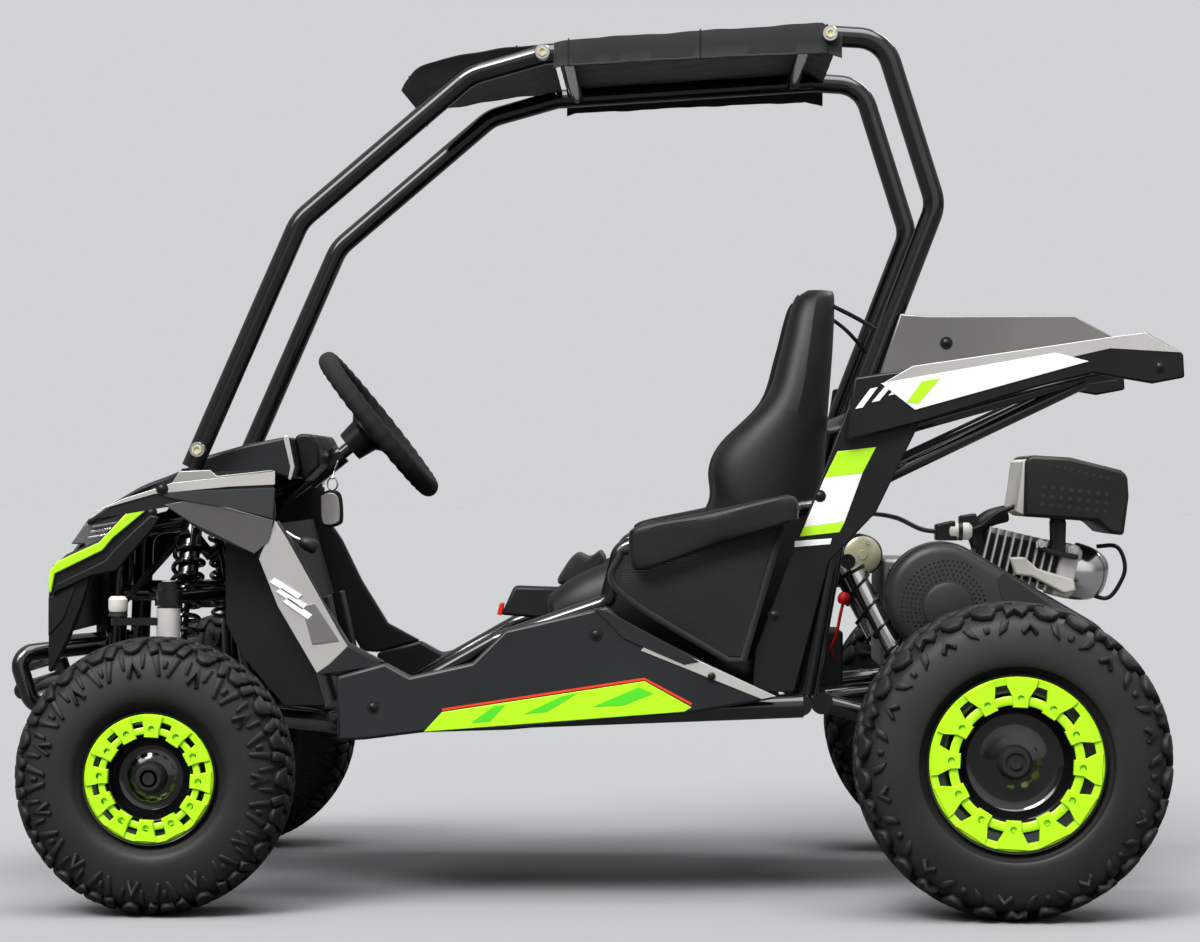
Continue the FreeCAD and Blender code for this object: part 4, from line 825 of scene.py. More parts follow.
# from the front edge up to the head: cushion middle, bolster and back as (x, z), half width, place along
seatLines = ((-60, 385, -58, 400, -50, 335, 0.92, 0), (0, 384, -20, 428, 20, 324, 0.99, 0.12),
             (60, 386, 44, 455, 100, 321, 1, 0.25), (180, 377, 130, 482, 236, 318, 1, 0.42),
              (208, 400, 167, 530, 290, 400, 1, 0.5), (240, 485, 167, 578, 308, 480, 1, 0.6),
              (254, 560, 184, 615, 320, 560, 0.98, 0.7), (266, 640, 240, 673, 326, 650, 0.93, 0.8),
              (280, 735, 261, 737, 333, 740, 0.84, 0.9), (293, 803, 279, 804, 336, 806, 0.72, 0.96),
              (308, 822, 300, 824, 334, 823, 0.6, 1))


def addSeat():
    # each ring: the front goes from the cushion's middle up to the bolster, then rolls round to the back
    low, high = [np.array(corner) * 1000 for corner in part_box("seat")]
    half = (high[1] - low[1]) / 2
    lines = smoothLine(seatLines, seat["steps"])
    centre, bolster, back = [np.stack([lines[:, 2 * k] + low[0] + 60, lines[:, 2 * k + 1]], -1)[:, None]
                             for k in range(3)]
    width, place = lines[:, 6][:, None], lines[:, 7][:, None]
    a = np.linspace(-1, 1, seat["across"])[None]
    span = np.abs(a)
    rise = np.clip((span - 0.48) / 0.27, 0, 1)
    rise = (rise * rise * (3 - 2 * rise))[..., None]
    roll = (1 - np.sqrt(1 - np.clip((span - 0.8) / 0.2, 0, 1) ** 2))[..., None]
    forward = bolster - back
    forward /= np.linalg.norm(forward, axis=2, keepdims=True)
    front = centre + (bolster - centre) * rise
    front = front + ((bolster + back) / 2 - front) * roll
    seams = np.exp(-((span - 0.5) / 0.02) ** 2) * 6 + np.exp(-((span - 0.8) / 0.016) ** 2) * 2.5
    quilts = sum(np.exp(-((place - at) / 0.008) ** 2) for at in (0.2, 0.36, 0.63, 0.74, 0.86)) * 5 * (span < 0.5)
    puff = 4 * np.cos(np.clip(span / 0.5, 0, 1) * np.pi / 2) ** 0.5
    ends = np.clip(np.minimum(place, 1 - place) / 0.05, 0, 1)
    front = front + forward * ((puff - seams - quilts) * ends)[..., None]
    b = np.linspace(1, -1, seat["behind"])[None, 1:-1]
    rollBack = (1 - np.sqrt(1 - np.clip((np.abs(b) - 0.75) / 0.25, 0, 1) ** 2))[..., None]
    behind = back + ((bolster + back) / 2 - back) * rollBack
    flat = np.concatenate([front, behind], axis=1)
    y = np.concatenate([a, b], axis=1) * width * half
    points = np.stack([flat[..., 0], y, flat[..., 1]], -1)
    caps = points.mean(1, keepdims=True)
    count = points.shape[1]
    points = np.concatenate([np.repeat(caps[:1], count, 1), points, np.repeat(caps[-1:], count, 1)])
    cover = piece("seat_cover", [grid(points, False, True)], "vinyl", subdiv=1, replaces=("seat",))
    piping = []
    for column in (6, seat["across"] - 7):      # a sewn edge along each bolster
        piping.append(alongPath(points[6:-5, column] + [-1.2, 0, 0.6], 1.7, 8))
    piece("seat_piping", piping, "canvas")


addSeat()


def pillow(outline, inner, outer, crown, steps=6):
    # a fat pad: the outline shrinks towards both faces along a quarter circle
    flat = np.asarray(outline, dtype=float)
    centre = flat.mean(0)
    rings = []
    for share in np.linspace(-1, 1, steps * 2 + 1):
        inset = 1 - math.sqrt(max(0, 1 - share ** 2))
        ring = flat + (centre - flat) / np.linalg.norm(centre - flat, axis=1)[:, None] * crown * inset
        y = (inner + outer) / 2 + (outer - inner) / 2 * share
        rings.append(np.stack([ring[:, 0], np.full(len(ring), y), ring[:, 1]], -1))
    points = np.stack(rings)
    caps = points.mean(1, keepdims=True)
    points = np.concatenate([np.repeat(caps[:1], len(flat), 1), points, np.repeat(caps[-1:], len(flat), 1)])
    return grid(points, False, True)


def addArmPads():
    low, high = [np.array(corner) * 1000 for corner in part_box("arm_pads")]
    outline = smoothLine([(56, 480), (64, 498), (140, 515), (246, 538), (268, 541), (279, 533), (280, 514),
                          (272, 506), (200, 482), (120, 456), (74, 441), (59, 449), (56, 480)], 4)[:-1]
    pads, seams = [], []
    for sign in (-1, 1):
        inner, outer = (high[1] - 38) * sign, high[1] * sign
        pads.append(pillow(outline, inner, outer, 9))
        top = np.stack([np.linspace(low[0] + 12, high[0] - 14, 40), np.full(40, (high[1] - 3.5) * sign),
                        np.interp(np.linspace(low[0] + 12, high[0] - 14, 40), [low[0], high[0]], [490, 534])], -1)
        seams.append(alongPath(top, 1.3, 6))
    piece("arm_pad_covers", pads, "vinyl", subdiv=1, replaces=("arm_pads",))
    piece("arm_pad_seams", seams, "canvas")


addArmPads()


def addRoof():
    low, high = [np.array(corner) * 1000 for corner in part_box("canopy")]
    barFront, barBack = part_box("roof_bars")[1][2] * 1000 - 26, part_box("roof_bars")[1][2] * 1000
    length = np.linspace(low[0] + 2, high[0] - 2, 60)
    share = (length - length[0]) / (length[-1] - length[0])
    top = barFront + (barBack - barFront) * share + 4
    half = high[1] - 1
    drop = np.interp(share, [0, 0.5, 0.92, 1], [36, 38, 42, 34])
    endDip = np.interp(share, [0, 0.03, 0.93, 1], [3, 0, 0, 16])
    around = np.linspace(-1, 1, 81)
    span = np.abs(around)
    flat = np.clip(span / 0.84, 0, 1)
    side = np.clip((span - 0.84) / 0.16, 0, 1)
    y = np.sign(around) * (flat * (half - 8) + np.sin(side * np.pi / 2) * 8)
    fold = 1 - np.cos(np.minimum(side * 2.2, 1) * np.pi / 2)
    down = np.minimum(side * 2.2, 1) * 5 * fold + side
    sag = 6 * np.cos(flat * np.pi / 2) ** 2
    z = top[:, None] - endDip[:, None] - sag[None, :] * np.sin(share * np.pi)[:, None] - down[None, :] * drop[:, None] / 6
    wrinkle = (np.sin(length[:, None] / 19 + around[None, :] * 23) * 0.7
               + np.sin(length[:, None] / 7.3 - around[None, :] * 41) * 0.35)
    points = np.stack(np.broadcast_arrays(length[:, None], y[None, :], z + wrinkle * (1 - side)[None, :]), -1).copy()
    points[..., 1] += wrinkle * side[None, :] * 0.9 * np.sign(around)[None, :] - np.sign(around)[None, :] * 1.5
    points[..., 2] = np.minimum(points[..., 2], high[2] + 4)
    cover = piece("canopy_cover", [grid(points)], "canvas", solid=2.4, replaces=("canopy",))
    seams = []
    for at in (3, 30, 56):
        seams.append(alongPath(points[at] + [0, 0, 1.4], 1.1, 6))
    for column in (12, 40, 68):
        seams.append(alongPath(points[:, column] + [0, 0, 1.4], 1.0, 6))
    piece("canopy_seams", seams, "webbing")


def addVisor():
    low, high = [np.array(corner) * 1000 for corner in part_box("visor")]
    run = smoothLine([(low[0] + 1, low[2] + 4), (low[0] + 10, low[2] + 18), (low[0] + 34, low[2] + 36),
                      (low[0] + 110, low[2] + 52), (low[0] + 170, high[2] - 3), (high[0], high[2] - 3)], 8)
    around = np.linspace(-1, 1, 61)
    narrow = np.interp(run[:, 0], [low[0], low[0] + 60, high[0]], [0.86, 0.97, 1.0])
    y = around[None, :] * narrow[:, None] * (high[1] - 2)
    arch = (1 - around ** 4)[None, :] * 6 - 6
    wrinkle = np.sin(run[:, 0][:, None] / 9 + around[None, :] * 17) * 0.6
    top = np.stack(np.broadcast_arrays(run[:, 0][:, None], y, run[:, 1][:, None] + arch + wrinkle), -1).copy()
    thick = np.interp(run[:, 0], [low[0], low[0] + 50, high[0] - 30, high[0]], [3, 17, 17, 5])
    lower = top.copy()
    lower[..., 2] -= thick[:, None] * (1 - np.abs(around) ** 6)[None, :] + 1.5
    lower[..., 0] += 2
    closed = np.concatenate([top, lower[:, ::-1]], axis=1)
    ends = closed.mean(1, keepdims=True)
    closed = np.concatenate([np.repeat(ends[:1], closed.shape[1], 1), closed, np.repeat(ends[-1:], closed.shape[1], 1)])
    piece("visor_cover", [grid(closed, False, True)], "canvas", replaces=("visor",))
    piece("visor_seams", [alongPath(top[9] + [0, 0, 0.8], 1.1, 6), alongPath(top[30] + [0, 0, 0.8], 1.1, 6)], "webbing")


addRoof()
addVisor()


def addSideMeshes():
    # a bowed cloth panel with a bound edge, and bands that hold it to its tube
    low, high = [np.array(corner) * 1000 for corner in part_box("side_meshes")]
    corners = np.array(relative([(-508, 414), (-504, 466), (-288, 512), (-342, 322), (-362, 322)], rearX))
    share = np.linspace(0, 1, 26)
    leftEdge = smoothLine([corners[4], corners[0], corners[1]], 12)
    rightEdge = smoothLine([corners[3], (corners[3] + corners[2]) / 2, corners[2]], 12)
    left = np.stack([np.interp(share, np.linspace(0, 1, len(leftEdge)), leftEdge[:, k]) for k in (0, 1)], -1)
    right = np.stack([np.interp(share, np.linspace(0, 1, len(rightEdge)), rightEdge[:, k]) for k in (0, 1)], -1)
    u = np.linspace(0, 1, 26)[None, :, None]
    flat = left[:, None] * (1 - u) + right[:, None] * u
    bow = np.sin(share * np.pi)[:, None] * np.sin(u[..., 0] * np.pi) * 3
    binding, bands = [], []
    for side, sign in sideSigns:
        y = sign * (high[1] - 3.5 + bow)
        points = np.stack(np.broadcast_arrays(flat[..., 0], y, flat[..., 1]), -1)
        cloth = piece(side + "_mesh_cloth", [grid(points)], "meshCloth", solid=0.8,
                      replaces=("side_meshes",) if side == "left" else ())
        edge = np.vstack([points[0], points[1:, -1], points[-1, ::-1][1:], points[::-1, 0][1:-1]])
        binding.append(alongPath(edge, 4.2, 8, True))
        for t in (0.12, 0.4, 0.7, 0.95):
            x = rearX - 500 + 200 * t
            z = 474 + 43 * t
            turn = np.linspace(0, 2 * np.pi, 20, endpoint=False)
            loop = np.stack([np.full(20, x), sign * (high[1] - 17) + np.cos(turn) * 13.5,
                             z + np.sin(turn) * 14], -1)
            bands.append(alongPath(loop, 2.0, 6, True))
    piece("side_mesh_binding", binding, "canvas")
    piece("side_mesh_bands", bands, "webbing")


addSideMeshes()
print("soft pieces")


# ---- steering wheel: a foam grip on three plates, in the plane of the column
def addSteeringWheel():
    centre = middle("steering_wheel")
    lean = math.radians(38.7)
    up = np.array([math.cos(lean), 0, math.sin(lean)])
    high = np.array([-math.sin(lean), 0, math.cos(lean)])
    side = np.array([0.0, 1, 0])
    centre = (centre * [1, 0, 1]) + up * 0
    low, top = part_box("steering_wheel")
    radius = (top[1] - low[1]) * 500
    turn = np.linspace(0, 2 * np.pi, 120, endpoint=False)
    middleR = radius - 19
    ring = centre + (high[None] * np.sin(turn)[:, None] + side[None] * np.cos(turn)[:, None]) * middleR + up * 6
    grip = alongPath(ring, 13.2 + 0.7 * np.cos(turn * 36), 18, True)
    piece("steering_grip", [grip], "foam", body="steering")
    plates = []
    for angle in (90, 210, 330):
        a = math.radians(angle)
        reach = high * math.sin(a) + side * math.cos(a)
        beside = np.cross(up, reach)
        corners = [(18, -20), (60, -12), (middleR, -9), (middleR, 9), (60, 12), (18, 20)]
        verts = []
        for lift in (-10, -6):
            for out, wide in corners:
                verts.append(centre + reach * out + beside * wide + up * (lift + out * 0.09))
        count = len(corners)
        i = np.arange(count)
        on = (i + 1) % count
        plates.append((np.array(verts), [np.stack([i, on, on + count, i + count], -1), i[None, ::-1],
                                         (i + count)[None]]))
    piece("steering_plates", plates, "satinBlack", body="steering", bevel=1)

    def hubRing(profile):
        t = np.linspace(0, 2 * np.pi, 48, endpoint=False)
        rows = [centre + up * a + (high[None] * np.sin(t)[:, None] + side[None] * np.cos(t)[:, None]) * r
                for a, r in profile]
        return grid(np.stack(rows), False, True)
    hub = hubRing([(6, 0.1), (6, 14), (3, 24), (-2, 32), (-14, 33), (-20, 26), (-46, 22), (-46, 0.1)])
    piece("steering_hub", [hub], "satinBlack", body="steering", replaces=("steering_wheel",))
    screws = []
    for k in range(6):
        a = k * math.pi / 3
        spot = centre + (high * math.sin(a) + side * math.cos(a)) * 22
        t = np.linspace(0, 2 * np.pi, 10, endpoint=False)
        rows = [spot + up * h + (high[None] * np.sin(t)[:, None] + side[None] * np.cos(t)[:, None]) * r
                for h, r in ((3, 3.6), (6.5, 3.4), (6.5, 0.1))]
        screws.append(grid(np.stack(rows), False, True))
    piece("steering_screws", screws, "zinc", body="steering")


addSteeringWheel()

# ---- drive: cylinder with fins, guard box, belt cover, starter, shocks
engine = {"fins": 9, "finGap": 11.5, "tilt": -13}


def slanted(part, centre, degrees):
    a = math.radians(degrees)
    matrix = [[math.cos(a), 0, -math.sin(a)], [0, 1, 0], [math.sin(a), 0, math.cos(a)]]
    return turnedBy(part, np.asarray(centre, dtype=float), matrix)


def addEngine():
    # thin plates round the barrel, tilted with it, then the head and a bright domed cover
    low, high = [np.array(corner) * 1000 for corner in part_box("cylinder")]
    blockLow, blockHigh = [np.array(corner) * 1000 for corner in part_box("engine_block")]
    base = np.array([low[0] + 2, 0, 466.0])
    fins = []
    for index in range(engine["fins"]):
        x = base[0] + 4 + engine["finGap"] * index
        fins.append(slab([(x, base[2] - 36), (x + 3, base[2] - 36), (x + 3, base[2] + 34), (x, base[2] + 34)],
                         -61, 61))
    core = slab([(base[0] - 6, base[2] - 28), (base[0] + 118, base[2] - 28), (base[0] + 118, base[2] + 26),
                 (base[0] - 6, base[2] + 26)], -47, 47)
    piece("cylinder_fins", [slanted(each, base, engine["tilt"]) for each in fins], "finAlloy", bevel=0.5,
          replaces=("cylinder",))
    piece("cylinder_core", [slanted(core, base, engine["tilt"])], "satinBlack", bevel=2)
    head = slab([(base[0] + 108, base[2] - 40), (base[0] + 132, base[2] - 40), (base[0] + 138, base[2] - 30),
                 (base[0] + 138, base[2] + 28), (base[0] + 130, base[2] + 36), (base[0] + 108, base[2] + 36)], -58, 58)
    piece("cylinder_head", [slanted(head, base, engine["tilt"])], "finAlloy", bevel=3)
    t = np.linspace(0, np.pi / 2, 12)
    turn = np.linspace(0, 2 * np.pi, 48, endpoint=False)
    size = 40 * np.cos(t) ** 0.6 + 0.1
    shape = np.stack([np.broadcast_to((base[0] + 134 + 50 * np.sin(t))[:, None], (12, 48)),
                      size[:, None] * 1.5 * np.sign(np.cos(turn)) * np.abs(np.cos(turn)) ** 0.75,
                      base[2] + size[:, None] * np.sign(np.sin(turn)) * np.abs(np.sin(turn)) ** 0.85], -1)
    piece("valve_cover", [slanted(grid(shape, False, True), base, engine["tilt"])], "chrome")
    shroud = [(rearX + 32, 455), (rearX + 52, 456), (rearX + 70, 440), (rearX + 120, 425), (rearX + 124, 409),
              (rearX + 107, 405), (rearX + 63, 428), (rearX + 39, 431)]
    piece("air_shroud", [slab(shroud, -72, -58)], "gloveWhite", bevel=3)
    flange = [slab([(rearX + 88, 506), (rearX + 110, 506), (rearX + 109, 458), (rearX + 90, 458)], -70, -50),
              slab([(rearX + 70, 466), (rearX + 92, 458), (rearX + 126, 452), (rearX + 127, 459), (rearX + 92, 466),
                    (rearX + 72, 473)], -74, -56),
              alongPath([(rearX + 99, -60, 462), (rearX + 99, -60, 512)], 11, 16)]
    piece("exhaust_flange", flange, "guardBlack", bevel=2)
    studs = [lathe([(-77, 0.1), (-77, 4.5), (-70, 5), (-70, 8), (-60, 8)], (rearX + x, 0, z), 6)
             for x, z in ((75, 473), (120, 466))]
    piece("flange_nuts", studs, "chrome")
    # intake: an elbow, a clip and a canister between the crankcase and the guard
    intake = [alongPath(smoothLine([(rearX - 8, -40, 470), (rearX - 12, -44, 490), (rearX + 4, -44, 508),
                                    (rearX + 30, -40, 516)], 6), 12, 18),
              slab([(rearX - 70, 478), (rearX - 70, 500), (rearX - 44, 506), (rearX - 40, 478)], -70, -30),
              slab([(rearX - 36, 492), (rearX - 36, 512), (rearX - 14, 516), (rearX - 6, 492)], -60, -24)]
    piece("intake", intake, "blackPlastic", bevel=2)
    ribs = [slab([(blockLow[0] + 10 + 22 * i, blockLow[2] + 10), (blockLow[0] + 15 + 22 * i, blockLow[2] + 10),
                  (blockLow[0] + 15 + 22 * i, blockHigh[2] - 12), (blockLow[0] + 10 + 22 * i, blockHigh[2] - 12)],
                 blockLow[1] - 3, blockLow[1] + 4) for i in range(6)]
    piece("crankcase_ribs", ribs, "castAlloy", bevel=0.8)
    softenNode("engine_block", "castAlloy", 5)


def addGuardBox():
    # a folded sheet box; three rows of round holes and a row of smaller ones on its sides are dark glossy discs laid on
    # its faces, painted shade standing for the shaded inside seen through the holes
    low, high = [np.array(corner) * 1000 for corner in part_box("muffler")]
    outline = relative([(48, 512), (50, 590), (58, 597), (112, 594), (182, 577), (191, 569), (193, 540), (186, 486),
                        (166, 490), (150, 505), (80, 510)], rearX)
    piece("guard_box", [slab(outline, low[1] + 2, high[1] - 2)], "guardBlack", bevel=5, replaces=("muffler",))
    paintedHoleShade = []
    for sign in (-1, 1):
        face = (high[1] - 2) * sign
        for row in range(3):
            for index in range(8):
                paintedHoleShade.append(lathe([(face - 0.2 * sign, 0.1), (face + 0.25 * sign, 0.1), (face + 0.25 * sign, 3.1),
                                    (face - 0.2 * sign, 3.4)],
                                   (rearX + 76 + 12.4 * index - 1.2 * row, 0, 553 - 12 * row - 1.4 * index), 14))
        for index in range(9):
            paintedHoleShade.append(lathe([(face - 0.2 * sign, 0.1), (face + 0.25 * sign, 0.1), (face + 0.25 * sign, 1.9),
                                (face - 0.2 * sign, 2.1)], (rearX + 84 + 10 * index, 0, 583 - 2.2 * index), 12))
    # painted shade: dark discs where the holes would show the shaded inside
    piece("guard_hole_painted_shade", paintedHoleShade, "dishBlack")
    backing = relative([(38, 519), (43, 549), (48, 588), (58, 596), (60, 590), (54, 512)], rearX)
    piece("guard_back_plate", [slab(backing, low[1] + 8, high[1] - 8)], "gloveWhite", bevel=1)


def addBeltCover():
    low, high = [np.array(corner) * 1000 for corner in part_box("belt_cover")]
    big = np.array([low[0] + 74, low[2] + 122])
    small = np.array([high[0] - 54, low[2] + 45])
    r1, r2 = 72.0, 50.0
    # outline: two arcs joined by their outer tangents
    along = small - big
    reach = np.linalg.norm(along)
    heading = math.atan2(along[1], along[0])
    open_ = math.acos((r1 - r2) / reach)
    first = np.linspace(heading + open_, heading + 2 * math.pi - open_, 40)
    second = np.linspace(heading - open_, heading + open_, 24)
    outline = np.vstack([big + r1 * np.stack([np.cos(first), np.sin(first)], -1),
                         small + r2 * np.stack([np.cos(second), np.sin(second)], -1)])
    face, back = low[1] + 2, high[1] - 40
    rings = []
    for y, inset in ((back, 0), (face + 16, 0), (face + 8, 1.5), (face + 3, 6), (face, 14)):
        ring = outline.copy()
        ring[:40] += (big - ring[:40]) / r1 * inset
        ring[40:] += (small - ring[40:]) / r2 * inset
        rings.append(np.stack([ring[:, 0], np.full(len(ring), y), ring[:, 1]], -1))
    points = np.stack(rings)
    count = points.shape[1]
    mid = (big + small) / 2
    capA = np.broadcast_to(np.array([mid[0], back, mid[1]]), (1, count, 3))
    capB = np.broadcast_to(np.array([mid[0], face, mid[1]]), (1, count, 3))
    shell = grid(np.concatenate([capA, points, capB]), False, True)
    piece("belt_shell", [shell], "guardBlack", replaces=("belt_cover",))
    lip = alongPath(points[1], 2.2, 8, True)
    piece("belt_lip", [lip], "blackPlastic")
    boss = lathe([(face + 3, 0.1), (face - 5.5, 0.1), (face - 5.5, 28), (face - 3.5, 33), (face + 3, 36)],
                 (big[0] + 10, 0, big[1] - 14), 48)
    facet = slab([(big[0] + 74, big[1] + 26), (big[0] + 84, big[1] + 34), (big[0] + 158, big[1] - 18),
                  (big[0] + 130, big[1] - 26), (big[0] + 84, big[1] - 14)], face + 1, face - 1.2)
    piece("belt_boss", [boss], "guardBlack")
    piece("belt_facet", [facet], "guardBlack", bevel=0.8)
    # the holes in the cover are dark glossy discs on its face, painted shade standing for the shaded inside seen
    # through them
    paintedHoleShade = []
    for ringIndex in range(5):
        radius = 38 + 6 * ringIndex
        angles = np.arange(math.radians(-10), math.radians(235), 6.4 / radius)
        for angle in angles:
            if ringIndex > 2 and (angle < math.radians(60) or angle > math.radians(200)):
                continue
            spot = (big[0] + 10 + radius * math.cos(angle), 0, big[1] - 14 + radius * math.sin(angle))
            if math.hypot(spot[0] - big[0], spot[2] - big[1]) > r1 - 12:
                continue
            paintedHoleShade.append(lathe([(face + 0.4, 0.1), (face - 0.3, 0.1), (face - 0.3, 1.7), (face + 0.4, 1.8)], spot, 8))
    piece("belt_hole_painted_shade", paintedHoleShade, "dishBlack")


def addStarter():
    low, high = [np.array(corner) * 1000 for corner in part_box("starter_motor")]
    x, z = (low[0] + high[0]) / 2, (low[2] + high[2]) / 2 + 12
    face, back = low[1], high[1]
    can = lathe([(face + 8, 0.1), (face + 8, 26), (face + 10, 27.5), (back, 27.5), (back, 0.1)], (x, 0, z), 40)
    end = lathe([(face + 1, 0.1), (face + 1, 6), (face + 3, 7), (face + 3, 22), (face + 5, 25), (face + 8.5, 25.5),
                 (face + 8.5, 0.1)], (x, 0, z), 40)
    piece("starter_can", [can], "satinBlack", replaces=("starter_motor",))
    piece("starter_end", [end], "zinc")
    screws = [lathe([(face + 3, 0.1), (face - 0.5, 0.1), (face - 0.5, 3.2), (face + 3, 3.4)],
                    (x + 19 * math.sin(a), 0, z + 19 * math.cos(a)), 12) for a in (0.4, 3.5)]
    piece("starter_screws", screws, "chrome")


def addShocks():
    low, high = [np.array(corner) * 1000 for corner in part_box("rear_shocks")]
    bodies, coils, ends = [], [], []
    for sign in (-1, 1):
        top = np.array([rearX - 200, 216 * sign, 452.0])
        foot = np.array([rearX - 106, 226 * sign, 277.0])
        along = (top - foot) / np.linalg.norm(top - foot)
        reach = np.linalg.norm(top - foot)
        across = np.cross(along, [0, 1.0, 0])
        across /= np.linalg.norm(across)
        over = np.cross(along, across)
        bodies.append(alongPath([foot + along * 12, foot + along * (reach - 12)], [13.5, 13.5], 24))
        turn = np.linspace(0, 2 * np.pi * 4.6, 180)
        helix = foot + along * np.linspace(30, reach - 24, 180)[:, None] + 16.5 * (
            across * np.cos(turn)[:, None] + over * np.sin(turn)[:, None])
        coils.append(alongPath(helix, 2.1, 8))
        for at in (24, reach - 18):
            ends.append(alongPath([foot + along * at, foot + along * (at + 5)], [17.5, 17.5], 24))
        for spot in (foot + along * 8, top):
            ends.append(lathe([(-10, 0.1), (-10, 10), (10, 10), (10, 0.1)], spot, 20))
    piece("shock_bodies", bodies, "chrome", replaces=("rear_shocks",))
    piece("shock_coils", coils, "satinBlack")
    piece("shock_ends", ends, "satinBlack")


addEngine()
addGuardBox()
addBeltCover()
addStarter()
addShocks()


def addFrontDetails():
    # white dust caps on the ball joints, a bright sleeve and a coil round each kingpin, then the hand parts
    for side, sign in sideSigns:
        spot = (frontX - 67, 330 * sign, 0)
        kingpin = (frontX, 330 * sign, 0)
        body = side + "_knuckle"
        cap = lathe([(404, 0.1), (404, 9), (400, 12.5), (388, 12.5), (384, 11), (384, 0.1)], spot, 28, axis=2)
        piece(side + "_ball_boot", [cap], "gloveWhite", body=body)
        piece(side + "_ball_seat", [lathe([(383, 0.1), (383, 12), (378, 13), (377, 0.1)], spot, 28, axis=2)],
              "rubber", body=body)
        nut = lathe([(414, 0.1), (414, 15), (416, 15), (416, 9.5), (425, 9), (425, 0.1)], kingpin, 6, axis=2)
        piece(side + "_kingpin_nut", [nut], "zinc", body=body)
        sleeve = lathe([(345, 10), (345, 15.8), (389, 15.8), (389, 10)], kingpin, 32, axis=2)
        piece(side + "_kingpin_sleeve", [sleeve], "finAlloy", body=body)
    rods, coils = [], []
    for side, sign in sideSigns:
        top, foot = np.array([frontX + 8, 160 * sign, 500.0]), np.array([frontX + 4, 262 * sign, 300.0])
        along = (foot - top) / np.linalg.norm(foot - top)
        across = np.cross(along, [1.0, 0, 0])
        across /= np.linalg.norm(across)
        turn = np.linspace(0, 2 * np.pi * 7, 170)
        helix = top + along * np.linspace(24, 170, 170)[:, None] + 20 * (
            across * np.cos(turn)[:, None] + np.cross(along, across) * np.sin(turn)[:, None])
        rods.append(alongPath([top, top + along * 90, top + along * 92, foot], [14, 14, 7, 7], 20))
        coils.append(alongPath(helix, 3.4, 8))
    piece("front_dampers", rods, "tubeBlack")
    piece("front_coils", coils, "tubeBlack")
    lever = [(-399, -300, 489), (-388, -300, 482), (-376, -300, 477)]
    piece("hand_lever", [alongPath(lever, 3.2, 12)], "chrome")
    knob = [(-380, -300, 479), (-377, -300, 477.5), (-370, -300, 474), (-361, -300, 469), (-357, -300, 467)]
    piece("hand_knob", [alongPath(knob, [4, 8, 9.5, 9.5, 6], 20)], "blackPlastic")
    fob = smoothLine([(-376, 540), (-362, 545), (-348, 538), (-345, 505), (-350, 496), (-364, 493), (-374, 500),
                      (-376, 540)], 4)[:-1]
    piece("key_fob", [slab(fob, -70, -58)], "blackPlastic", bevel=2)
    centre = fob.mean(0)
    piece("key_fob_face", [slab(centre + (fob - centre) * 0.86 + [-2, 0], -72, -68)], "silverPlastic", bevel=1)
    turn = np.linspace(0, 2 * np.pi, 24, endpoint=False)
    ring = np.stack([-360 + 7 * np.cos(turn), np.full(24, -64.0), 553 + 9 * np.sin(turn)], -1)
    hook = smoothLine([(-360, -64, 560), (-358, -50, 574), (-356, -20, 586)], 6)
    piece("key_ring", [alongPath(ring, 1.2, 8, True), alongPath(hook, 1.4, 8)], "chrome")


addFrontDetails()


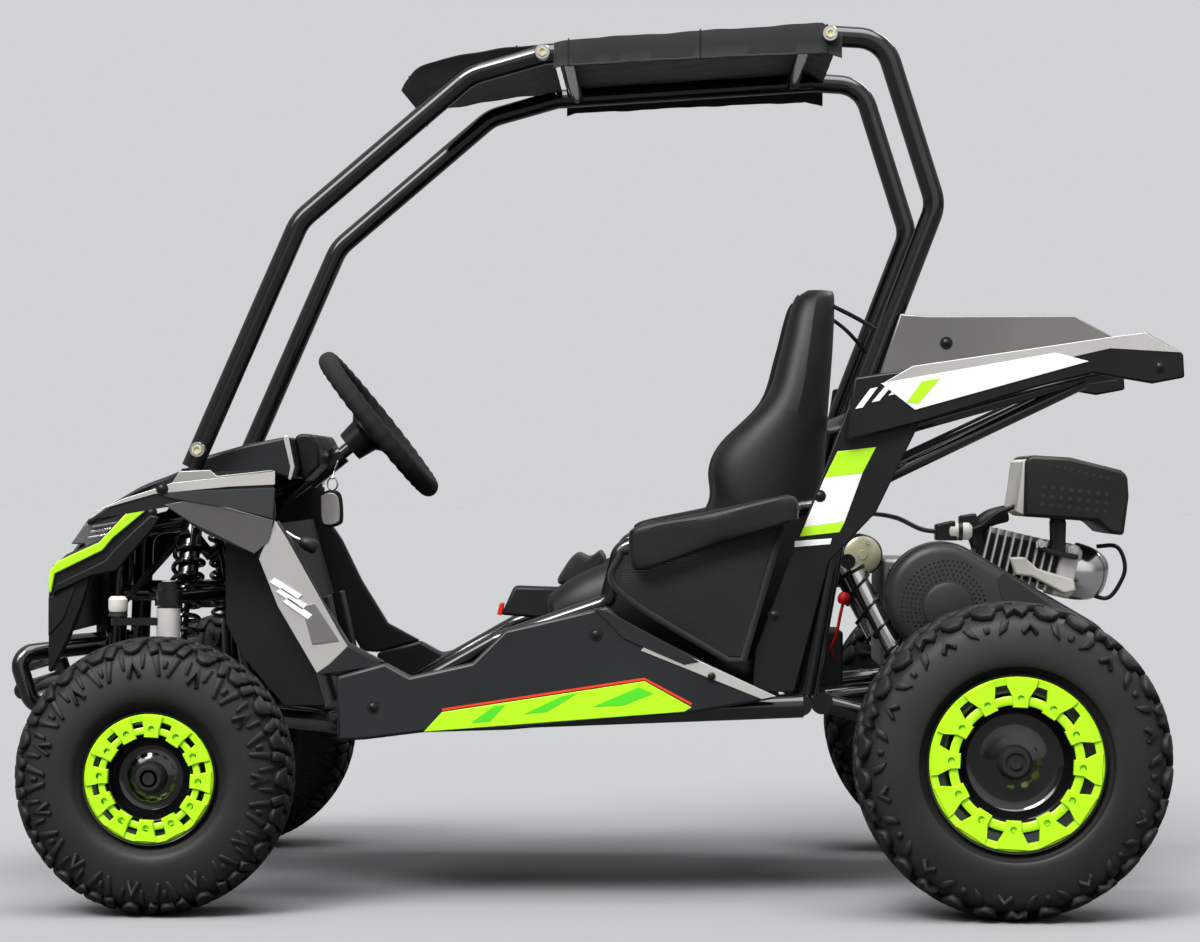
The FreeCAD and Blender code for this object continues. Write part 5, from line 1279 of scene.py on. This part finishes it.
def addHarness():
    # flat straps: a strip of a given width carried along a line, with pads and a buckle
    def strap(points, width, thick=2.2):
        line = smoothLine(points, 6)
        ahead = np.gradient(line, axis=0)
        ahead /= np.linalg.norm(ahead, axis=1)[:, None]
        beside = np.cross(ahead, [0.12, 0, 1.0])
        beside /= np.linalg.norm(beside, axis=1)[:, None]
        over = np.cross(beside, ahead)
        rows = [line + beside * a * width / 2 + over * b * thick / 2
                for a, b in ((-1, -1), (1, -1), (1, 1), (-1, 1))]
        points4 = np.stack(rows, 1)
        ends = points4.mean(1, keepdims=True)
        return grid(np.concatenate([np.repeat(ends[:1], 4, 1), points4, np.repeat(ends[-1:], 4, 1)]), False, True)
    belts = []
    for sign in (-1, 1):
        belts.append(strap([(rearX - 250, 60 * sign, 700), (rearX - 292, 64 * sign, 640), (rearX - 322, 66 * sign, 540),
                            (rearX - 350, 60 * sign, 440), (rearX - 420, 40 * sign, 405), (rearX - 500, 26 * sign, 404),
                            (rearX - 566, 40 * sign, 428)], 40))
        belts.append(strap([(rearX - 340, 176 * sign, 452), (rearX - 400, 140 * sign, 430),
                            (rearX - 470, 80 * sign, 410), (rearX - 520, 20 * sign, 408)], 36))
    piece("belts", belts, "webbing", replaces=("harness",))
    pads = []
    for sign in (-1, 1):
        outline = smoothLine([(rearX - 596, 424), (rearX - 572, 458), (rearX - 552, 452), (rearX - 536, 462),
                              (rearX - 530, 440), (rearX - 566, 416), (rearX - 594, 414), (rearX - 596, 424)], 3)[:-1]
        pads.append(pillow(outline, 16 * sign, 62 * sign, 6, 4))
    piece("belt_pads", pads, "canvas", subdiv=1)
    buckle = slab([(rearX - 674, 372), (rearX - 656, 412), (rearX - 590, 410), (rearX - 600, 366)], -70, -20)
    piece("buckle", [buckle], "blackPlastic", bevel=4)
    piece("buckle_button", [slab([(rearX - 680, 372), (rearX - 676, 388), (rearX - 670, 388), (rearX - 673, 371)],
                                 -62, -40)], "redRubber", bevel=1)


addHarness()


def addCables():
    # short held leads: round tubes along smooth curves
    red = smoothLine([(rearX - 202, -150, 396), (rearX - 206, -152, 380), (rearX - 212, -150, 350),
                      (rearX - 218, -140, 330), (rearX - 214, -120, 318)], 8)
    boot = smoothLine([(rearX - 200, -150, 408), (rearX - 203, -150, 392)], 4)
    piece("red_lead", [alongPath(red, 2.2, 8)], "redRubber")
    piece("red_boot", [alongPath(boot, [5, 8, 9, 8.5, 6], 14)], "redRubber")
    lead = smoothLine([(rearX + 158, -20, 470), (rearX + 185, -26, 470), (rearX + 196, -30, 447),
                       (rearX + 192, -30, 424), (rearX + 172, -26, 398), (rearX + 138, -20, 408)], 8)
    hose = smoothLine([(rearX - 205, -262, 516), (rearX - 192, -190, 514), (rearX - 160, -90, 515),
                       (rearX - 124, -62, 509), (rearX - 88, -60, 493),
                       (rearX - 52, -60, 490)], 8)
    vent = smoothLine([(rearX - 21, -60, 492), (rearX - 4, -60, 500), (rearX + 14, -60, 515), (rearX + 40, -60, 526)], 8)
    piece("plug_lead", [alongPath(lead, 3.0, 10)], "satinBlack")
    piece("fuel_hose", [alongPath(hose, 3.4, 10), alongPath(vent, 3.4, 10)], "satinBlack")
    can = lathe([(rearX - 54, 0.1), (rearX - 54, 8), (rearX - 50, 12), (rearX - 24, 12), (rearX - 20, 8),
                 (rearX - 20, 0.1)], (0, -60, 491), 28, axis=0)
    belt = lathe([(rearX - 39, 11), (rearX - 39, 13), (rearX - 33, 13), (rearX - 33, 11)], (0, -60, 491), 28, axis=0)
    piece("fuel_filter", [can], "gloveWhite")
    piece("filter_band", [belt], "satinBlack")
    strap = smoothLine([(rearX - 216, -120, 800), (rearX - 184, -170, 780), (rearX - 150, -262, 752)], 8)
    piece("head_straps", [alongPath(strap, 3.0, 8), alongPath(strap * [1, -1, 1], 3.0, 8)], "satinBlack")


addCables()
print("drive and details")
